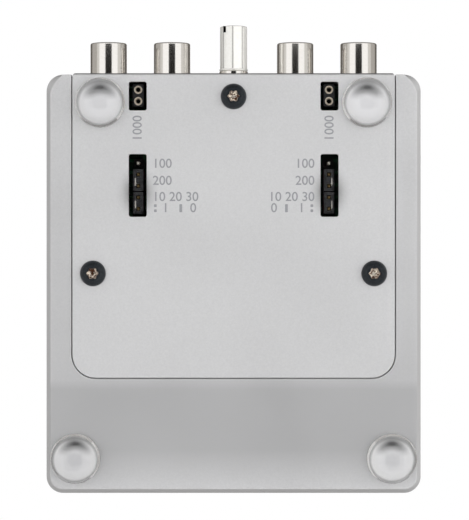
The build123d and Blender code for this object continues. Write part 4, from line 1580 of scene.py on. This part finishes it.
@dataclass
class GroundTerminal(SubAssembly):
    """The grooved earth screw and the washer under it."""

    head_radius: float = 3.1
    facets: int = 8
    facet_turn: float = 4.0
    groove_half: float = 5.0
    groove_depth: float = 0.16
    # Share of painted shade in the grooves and on the end's edge.
    groove_stain: float = 0.5
    flat_share: float = 0.7
    rim: float = 0.25
    foot_radius: float = 3.2
    foot_length: float = 0.3
    slot_width: float = 0.8
    slot_depth: float = 1.5
    slot_angle: float = -47.0
    shank_radius: float = 1.5
    thread_pitch: float = 0.5
    thread_depth: float = 0.2
    washer_radius: float = 3.2
    steps: int = 240

    def build(self) -> None:
        """Model the washer and the screw."""
        self._washer()
        self._screw()

    def _washer(self) -> None:
        """The washer, with eased edges."""
        middle = centre_of("ground_washer")
        foot = Vector((middle.x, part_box("ground_washer")[0][1], middle.z))
        top = length_of("ground_washer", 1)
        bore = self.shank_radius + 0.05
        radius = self.washer_radius
        profile = [
            (bore, 0.0), (radius - 0.1, 0.0), (radius, 0.1), (radius, top - 0.2), (radius - 0.2, top),
            (bore + 0.1, top), (bore, top - 0.1), (bore, 0.0),
        ]
        washer = Bench.lathe("plain_washer", profile, foot, Axis.Y, 72)
        Bench.smooth(washer, 28)
        self.fit(washer, Slot.NICKEL, "ground_washer", body=Body.WASHER)

    def _screw(self) -> None:
        """The screw: fluted head, driver slot and threaded shank."""
        low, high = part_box("ground_screw")
        middle = centre_of("ground_screw")
        head_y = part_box("ground_washer")[1][1]
        start = Vector((middle.x, head_y, middle.z))
        head = self._head(start, (high[1] - head_y) / MM)
        shank = self._shank(start, (head_y - low[1]) / MM)
        screw = Bench.join([head, shank], "earth_screw")
        Bench.smooth(screw, 30)
        body = Body.GROUND_SCREW
        self.fit(screw, Slot.NICKEL, "ground_screw", body=body, material=self.rack.terminal)

    def _to_groove(self, across: float, down: float) -> float:
        """Angle between a direction from the axis and the nearest groove.

        Args:
            across: The direction's part along x.
            down: Its part downwards.

        Returns:
            The angle, in radians.
        """
        pitch = TURN / self.facets
        off = (math.atan2(across, down) - math.radians(self.facet_turn)) % pitch
        return min(off, pitch - off)

    def _reach(self, to_groove: float) -> float:
        """Share of the head's radius that its grooved, faceted side has in a direction.

        Args:
            to_groove: Angle to the nearest groove.

        Returns:
            The share, 1 at most.
        """
        pitch = TURN / self.facets
        flat = math.cos(pitch / 2) / math.cos(pitch / 2 - to_groove)
        share = 1 - self.flat_share * (1 - flat)
        half = math.radians(self.groove_half)
        if to_groove < half:
            share -= self.groove_depth / self.head_radius * (0.5 + 0.5 * math.cos(math.pi * to_groove / half))
        return share

    def _head(self, start: Vector, length: float) -> Piece:
        """The grooved head with its slot.

        Args:
            start: Middle of the head's front face.
            length: Length of the head.

        Returns:
            The head.
        """
        side = self.head_radius
        foot = self.foot_radius
        rim = self.rim
        rings = [
            (0.0, 0.0), (foot - 0.1, 0.0), (foot, 0.1), (foot, self.foot_length),
            (side, self.foot_length + 0.15), (side, length - rim), (side - 0.08, length - 0.08),
            (side - rim, length), (0.0, length),
        ]
        head = Bench.lathe("earth_head", rings, start, Axis.Y, self.steps)
        first = start.y + (self.foot_length + 0.1) * MM
        with Bench.editing(head):
            mesh = bmesh.from_edit_mesh(head.data)
            for vertex in mesh.verts:
                spoke = Vector((vertex.co.x - start.x, 0.0, vertex.co.z - start.z))
                if vertex.co.y < first or spoke.length < 0.5 * side * MM:
                    continue
                spoke *= self._reach(self._to_groove(spoke.x, -spoke.z))
                vertex.co.x = start.x + spoke.x
                vertex.co.z = start.z + spoke.z
            bmesh.update_edit_mesh(head.data)
        half = self.slot_width / 2
        slot = Bench.block("slot_tool", (-side - 1, -self.slot_depth, -half), (side + 1, 1.0, half))
        turn = Matrix.Rotation(math.radians(-self.slot_angle), 4, "Y")
        slot.data.transform(Matrix.Translation(start + Vector((0.0, length * MM, 0.0))) @ turn)
        Bench.cut(head, slot)
        across = turn.to_3x3() @ Vector((0.0, 0.0, 1.0))
        floor = start.y + (length - self.slot_depth - 0.01) * MM
        line = math.radians(0.6 * self.groove_half)
        end = start.y + (length - 0.01) * MM

        def dullness(spot: Vector) -> float:
            """How much painted shade a spot gets: wholly in the driver slot, partly on the end's edge and in
            the grooves.

            Args:
                spot: Middle of a face.

            Returns:
                Share of the painted shade.
            """
            if spot.y > floor and abs((spot - start).dot(across)) < (half + 0.01) * MM:
                return 1.0
            if end - 0.08 * MM < spot.y < end:
                return self.groove_stain
            off = self._to_groove(spot.x - start.x, start.z - spot.z)
            return self.groove_stain if spot.y > first and off < line else 0.0

        Bench.mark(head, dullness)
        return head

    def _shank(self, start: Vector, length: float) -> Piece:
        """The threaded shank, a ridge wound round a core.

        Args:
            start: Middle of the head's front face.
            length: Length of the shank.

        Returns:
            The shank.
        """
        core = self.shank_radius - self.thread_depth
        half = self.thread_pitch / 2
        tip = start.y - length * MM
        corners = [
            Vector((core * MM, tip, 0)),
            Vector((self.shank_radius * MM, tip + half * MM * 0.9, 0)),
            Vector((self.shank_radius * MM, tip + half * MM * 1.1, 0)),
            Vector((core * MM, tip + 2 * half * MM, 0)),
        ]
        thread = Bench.plane("earth_thread")
        with Bench.editing(thread):
            Bench.draw(corners)
        wound = {"screw_offset": self.thread_pitch * MM, "iterations": int(length / self.thread_pitch)}
        Bench.modify(thread, "SCREW", axis="Y", angle=TURN, steps=24, render_steps=24, **wound)
        Bench.heal(thread)
        Bench.move(thread, (start.x, 0.0, start.z))
        wide = core + 0.02
        profile = [(0.0, -length), (core - 0.2, -length), (wide, -length + 0.25), (wide, 0.05), (0.0, 0.05)]
        rod = Bench.lathe("earth_core", profile, start, Axis.Y, 48)
        return Bench.join([rod, thread], "earth_shank")


@dataclass
class Selectors(SubAssembly):
    """Jumpers on the pin headers and the load sockets, one set for each channel."""

    cap_round: float = 0.2
    cap_wall: float = 0.42
    cap_end: float = 0.33
    opening: float = 0.95
    slit_offset: float = 0.6
    slit_back: float = 0.35
    slit_width: float = 0.36
    slit_length: float = 1.7
    socket_round: float = 0.07
    bore_radius: float = 0.5
    funnel_radius: float = 0.74
    collar_radius: float = 0.93
    collar_floor: float = 1.4
    pin_spacing: float = 2.54

    def build(self) -> None:
        """Model and dress the pieces of both channels."""
        for side in Side:
            for kind in ("gain", "subsonic"):
                self._cap(side, kind)
            self._load(side)

    def _cap(self, side: Side, kind: str) -> None:
        """One jumper's cap.

        Args:
            side: The channel.
            kind: What the jumper sets.
        """
        node = f"{kind}_jumper_cap_{side.word}"
        low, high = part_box(node)
        first = Vector(low) / MM
        last = Vector(high) / MM
        middle = (first + last) / 2
        cap = Bench.block(f"{kind}_cap_{side.word}", first, last)
        Bench.soften(cap, self.cap_round * MM)
        wall = self.cap_wall
        cavity = (first.x + wall, first.y + wall, first.z + self.cap_end)
        Bench.cut(cap, Bench.block("cavity_tool", cavity, (last.x - wall, last.y - wall, last.z + 1.0)))
        pin = self.pin_spacing / 2
        slit = (middle.x + side.value * self.slit_offset, middle.y - self.slit_back)
        holes = [(middle.x, middle.y + step * pin, self.opening, self.opening) for step in (-1, 1)]
        for x, y, width, length in [*holes, (*slit, self.slit_width, self.slit_length)]:
            near = (x - width / 2, y - length / 2, first.z - 1.0)
            far = (x + width / 2, y + length / 2, first.z + 1.0)
            Bench.cut(cap, Bench.block("hole_tool", near, far))
        Bench.smooth(cap)
        body = Body(f"{kind}_jumper_{side.word}")
        self.fit(cap, Slot.BLACK_PLASTIC, node, body=body, material=self.rack.jumper)

    def _load(self, side: Side) -> None:
        """One load socket with its two turned contacts.

        Args:
            side: The channel.
        """
        node = f"load_socket_{side.word}"
        shell = Bench.take(node, f"load_block_{side.word}")
        Bench.soften(shell, self.socket_round * MM, angle=60)
        Bench.smooth(shell)
        self.fit(shell, Slot.BLACK_PLASTIC, node)
        contacts = f"load_contacts_{side.word}"
        middle = centre_of(contacts)
        length = length_of(contacts, 2)
        depth = length - self.collar_floor
        bore = self.bore_radius
        funnel = self.funnel_radius
        collar = self.collar_radius
        profile = [
            (0.0, depth), (bore - 0.1, depth), (bore, depth - 0.1), (bore, 0.3), (funnel - 0.06, 0.06),
            (funnel, 0.0), (collar - 0.07, 0.0), (collar, 0.07), (collar, length), (0.0, length),
        ]
        sleeves = []
        for step in (-1, 1):
            y = middle.y + step * self.pin_spacing / 2 * MM
            foot = Vector((middle.x, y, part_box(contacts)[0][2]))
            sleeves.append(Bench.lathe(f"sleeve_{side.word}_{step}", profile, foot, Axis.Z, 48))
        pair = Bench.join(sleeves, f"load_sleeves_{side.word}")
        Bench.smooth(pair, 28)
        self.fit(pair, Slot.CONTACT, contacts, material=self.rack.sleeve)


@dataclass
class Markings(SubAssembly):
    """Plain numbers and position marks printed beside the windows."""

    ink_thickness: float = 0.012
    sink: float = 0.002
    digit_height: float = 2.05
    font_scale: float = 1.4
    stroke_gain: float = 0.03
    edge_gap: float = 3.3
    rows: tuple[tuple[str, float], ...] = (("100", 20.98), ("200", 17.2), ("10 20 30", 13.62))
    low_row: float = 11.15
    load_number: str = "1000"
    load_row: float = 28.85
    dot: float = 0.62
    dot_step: float = 0.56
    one_gap: float = 2.9
    bar_gap: float = 6.25
    bar_width: float = 0.62
    bar_height: float = 1.8
    bar_round: float = 0.2
    zero_gap: float = 9.0

    def build(self) -> None:
        """Print the marks of both channels."""
        for side in Side:
            x = centre_of(f"load_socket_{side.word}").x / MM
            load = self._number(self.load_number, x, self.load_row, Align.MIDDLE, turn=90.0)
            whole = Bench.join([*self._selector_marks(side), load], f"printed_marks_{side.word}")
            self.fit(whole, Slot.TRAY, material=self.rack.ink)

    def _plate_z(self) -> float:
        """Height of the tray's outer face, in millimetres."""
        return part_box("base_tray")[0][2] / MM

    def _number(self, text: str, x: float, y: float, align: Align, turn: float = 0.0) -> Piece:
        """Print one number, readable from below.

        Args:
            text: The number.
            x: Its place, in millimetres.
            y: Middle of its figures, in millimetres.
            align: Which end stands at the place.
            turn: Turn in the plane of the plate, in degrees.

        Returns:
            The number as a mesh.
        """
        bpy.ops.object.select_all(action="DESELECT")
        bpy.ops.object.text_add(location=(0, 0, 0))
        label = bpy.context.object
        label.data.body = text
        label.data.align_x = align.value
        label.data.align_y = "CENTER"
        label.data.size = self.font_scale * self.digit_height * MM
        label.data.extrude = self.ink_thickness / 2 * MM
        label.data.offset = self.stroke_gain * MM
        bpy.ops.object.convert(target="MESH")
        label = bpy.context.object
        flip = Matrix.Rotation(math.pi, 4, "Y")
        spin = Matrix.Rotation(math.radians(turn), 4, "Z")
        z = self._plate_z() - self.ink_thickness / 2 + self.sink
        label.data.transform(Matrix.Translation(Vector((x, y, z)) * MM) @ flip @ spin)
        return label

    def _bar(self, x: float, y: float, width: float, height: float) -> Piece:
        """Print one solid bar with rounded corners.

        Args:
            x: Middle of the bar.
            y: Middle of the bar.
            width: Size along x.
            height: Size along y.

        Returns:
            The bar.
        """
        z = self._plate_z() + self.sink
        low = (x - width / 2, y - height / 2, z - self.ink_thickness)
        bar = Bench.block("bar", low, (x + width / 2, y + height / 2, z))
        upright = self.sink * MM
        with Bench.editing(bar):
            Bench.pick(bar, Pick.EDGES, lambda edge: abs(edge.verts[0].co.z - edge.verts[1].co.z) > upright)
            bpy.ops.mesh.bevel(offset=self.bar_round * min(width, height) * MM, segments=2, affect="EDGES")
        return bar

    def _selector_marks(self, side: Side) -> list[Piece]:
        """Numbers beside the pin header, and a row of dots, numbers and a bar under them.

        Args:
            side: The channel.

        Returns:
            The printed pieces.
        """
        inward = -side.value
        edge_x = centre_of(f"header_pins_{side.word}").x / MM + inward * self.edge_gap
        align = Align.START if side is Side.RIGHT else Align.END
        marks = [self._number(text, edge_x, y, align) for text, y in self.rows]
        y = self.low_row
        for step in (-self.dot_step, self.dot_step):
            marks.append(self._bar(edge_x + inward * self.dot, y + step, self.dot, self.dot))
        marks.append(self._number("1", edge_x + inward * self.one_gap, y, Align.MIDDLE))
        marks.append(self._bar(edge_x + inward * self.bar_gap, y, self.bar_width, self.bar_height))
        marks.append(self._number("0", edge_x + inward * self.zero_gap, y, Align.MIDDLE))
        return marks


# ------------------------------------------------------------------------------- studio
@dataclass
class Studio:
    """Floor, white surroundings, soft lamps, cards that shape the reflections, and the camera."""

    frame_height: float = 520.0
    scale: float = 0.22147
    distance: float = 0.5
    aim: Point = (-0.0002, -0.00032)
    sensor: float = 36.0
    fill: float = 0.35
    lamps: tuple[tuple[str, Colour, Point, float], ...] = (
        ("soft_box_below", (0.0, 0.0, -0.9), (0.4, 0.4), 1.7),
        ("soft_box_left", (-0.446, 0.05, -0.40), (0.5, 0.9), 4.0),
        ("soft_box_right", (0.446, 0.05, -0.40), (0.5, 0.9), 2.2),
        ("soft_box_above", (-0.35, -0.45, 0.8), (0.9, 0.9), 8.0),
        ("soft_box_behind", (0.35, 0.6, 0.6), (0.8, 0.8), 5.9),
    )
    floor_colour: Colour = srgb(200.0, 200.0, 200.0)
    floor_near: float = 0.25
    floor_far: float = 1.1
    far_tone: Colour = (0.8, 0.8, 0.8)
    wall: float = 0.6
    wall_lows: tuple[float, ...] = (-0.07, -0.12, -0.306, -0.45)
    wall_high: float = 0.4
    wall_tone: Colour = (0.415, 0.40, 0.38)
    rear_tone: Colour = (0.2, 0.19, 0.18)
    pale_low: float = -0.34
    pale_tone: Colour = (0.64, 0.63, 0.61)
    strip_top: float = 2.0
    strip_tone: Colour = (0.13, 0.12, 0.11)
    dark_half: float = 0.3
    dark_below: float = -0.8
    dark_tone: Colour = (0.02, 0.019, 0.018)

    def build(self) -> None:
        """Set up everything round the part."""
        bpy.context.scene.view_settings.view_transform = "Standard"
        self._world()
        self._floor()
        for name, place, size, power in self.lamps:
            self._lamp(name, place, size, power)
        self._cards()
        self._camera()

    def _world(self) -> None:
        """White where it is seen, reflected or seen through; a lower fill for matt surfaces."""
        world = bpy.data.worlds.new("studio")
        bpy.context.scene.world = world
        sheet = NodeSheet.of(world)
        ray = sheet.add("LightPath").outputs
        seen = sheet.math("MAXIMUM", ray["Is Camera Ray"], ray["Is Glossy Ray"])
        seen = sheet.math("MAXIMUM", seen, ray["Is Transmission Ray"])
        strength = sheet.spread(seen, 0.0, 1.0, self.fill, 1.0)
        light = sheet.add("Background", Color=(1.0, 1.0, 1.0), Strength=strength)
        sheet.add("OutputWorld", Surface=light.outputs[0])

    def _floor(self) -> None:
        """A pale floor, seen from above only, so that the underside lies open to the camera below.

        Far from the part it keeps its tone without the lamps, so that it stays pale to the horizon.
        """
        bpy.ops.object.select_all(action="DESELECT")
        bpy.ops.mesh.primitive_grid_add(x_subdivisions=8, y_subdivisions=8, size=6.0, location=(0, 0, 0))
        floor = Bench.rename(bpy.context.object, "studio_floor")
        Bench.move(floor, (0, 0, -0.02 * MM))
        material = bpy.data.materials.new("pale_floor")
        sheet = NodeSheet.of(material)
        reach = sheet.math("LENGTH", sheet.place(), kind="VectorMath", result="Value")
        paint = sheet.add("BsdfDiffuse", Color=self.floor_colour)
        glow = sheet.add("Emission", Strength=1.0, Color=self.far_tone)
        ground = sheet.mix(sheet.spread(reach, self.floor_near, self.floor_far), paint, glow)
        upper = sheet.math("SUBTRACT", 1.0, sheet.add("NewGeometry").outputs["Backfacing"])
        seen = sheet.product(sheet.add("LightPath").outputs["Is Camera Ray"], upper)
        mixed = sheet.mix(seen, sheet.add("BsdfTransparent"), ground)
        sheet.add("OutputMaterial", Surface=mixed.outputs[0])
        floor.data.materials.append(material)

    def _lamp(self, name: str, place: Sequence[float], size: Point, power: float) -> None:
        """Hang one soft lamp that faces the part.

        Args:
            name: Name of the lamp.
            place: Where it hangs.
            size: Its width and length.
            power: Its power in watts.
        """
        light = bpy.data.lights.new(name, "AREA")
        light.shape = "RECTANGLE"
        light.size, light.size_y = size
        light.energy = power
        lamp = Bench.place(name, light)
        lamp.location = place
        lamp.rotation_mode = "QUATERNION"
        lamp.rotation_quaternion = (-Vector(place)).to_track_quat("-Z", "Y")
        lamp.visible_glossy = False
        lamp.visible_transmission = False

    def _card(self, name: str, corners: Sequence[Sequence[float]], tone: Colour) -> None:
        """Stand one card that only reflections and clear parts show.

        Args:
            name: Name of the card.
            corners: Its four corners in order.
            tone: How bright it looks, where 1 is white.
        """
        card = Bench.plane(name, 1.0)
        for index, corner in zip((0, 1, 3, 2), corners):
            card.data.vertices[index].co = corner
        material = bpy.data.materials.new(f"{name}_paper")
        sheet = NodeSheet.of(material)
        glow = sheet.add("Emission", Strength=1.0, Color=tone)
        sheet.add("OutputMaterial", Surface=glow.outputs[0])
        card.data.materials.append(material)
        card.visible_camera = False
        card.visible_diffuse = False
        card.visible_shadow = False

    def _cards(self) -> None:
        """A dark card behind the camera, walls all round and dark strips over three of them."""
        near = self.dark_half
        spots = ((-near, -near), (near, -near), (near, near), (-near, near))
        self._card("dark_card_below", [(*spot, self.dark_below) for spot in spots], self.dark_tone)
        wide = self.wall
        sides = {
            "left": ((-wide, -wide), (-wide, wide)),
            "right": ((wide, -wide), (wide, wide)),
            "front": ((-wide, -wide), (wide, -wide)),
            "rear": ((-wide, wide), (wide, wide)),
        }
        high = self.wall_high
        lows = dict(zip(sides, self.wall_lows))
        tones = (self.wall_tone, self.wall_tone, self.wall_tone, self.rear_tone)
        walls = [("grey_card", side, lows[side], high, tone) for side, tone in zip(sides, tones)]
        for side in ("left", "right"):
            walls.append(("pale_card", side, self.pale_low, lows[side], self.pale_tone))
        for side in ("left", "right", "rear"):
            walls.append(("dark_strip", side, high, self.strip_top, self.strip_tone))
        for name, side, bottom, upper, tone in walls:
            start, end = sides[side]
            corners = [(*start, bottom), (*end, bottom), (*end, upper), (*start, upper)]
            self._card(f"{name}_{side}", corners, tone)

    def _camera(self) -> None:
        """The camera, straight below the part and level with it."""
        lens_data = bpy.data.cameras.new("camera")
        lens_data.sensor_width = self.sensor
        lens_data.lens = self.sensor * self.distance / (self.frame_height * self.scale * MM)
        lens_data.clip_start = 0.01
        camera = Bench.place("camera", lens_data)
        camera.location = (*self.aim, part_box("housing")[0][2] - self.distance)
        camera.rotation_euler = (0.0, math.pi, 0.0)
        bpy.context.scene.camera = camera


def main() -> None:
    """Build the studio and every sub-assembly in order."""
    logging.basicConfig(level=logging.INFO, format="%(name)s: %(message)s")
    rack = FinishRack()
    rack.dress_nodes()
    Studio().build()
    for assembly in (Casing, Feet, TrayScrews, Connectors, GroundTerminal, Selectors, Markings):
        assembly(rack).build()
        log.info("%s built", assembly.__name__)


if __name__ == "__main__":
    main()
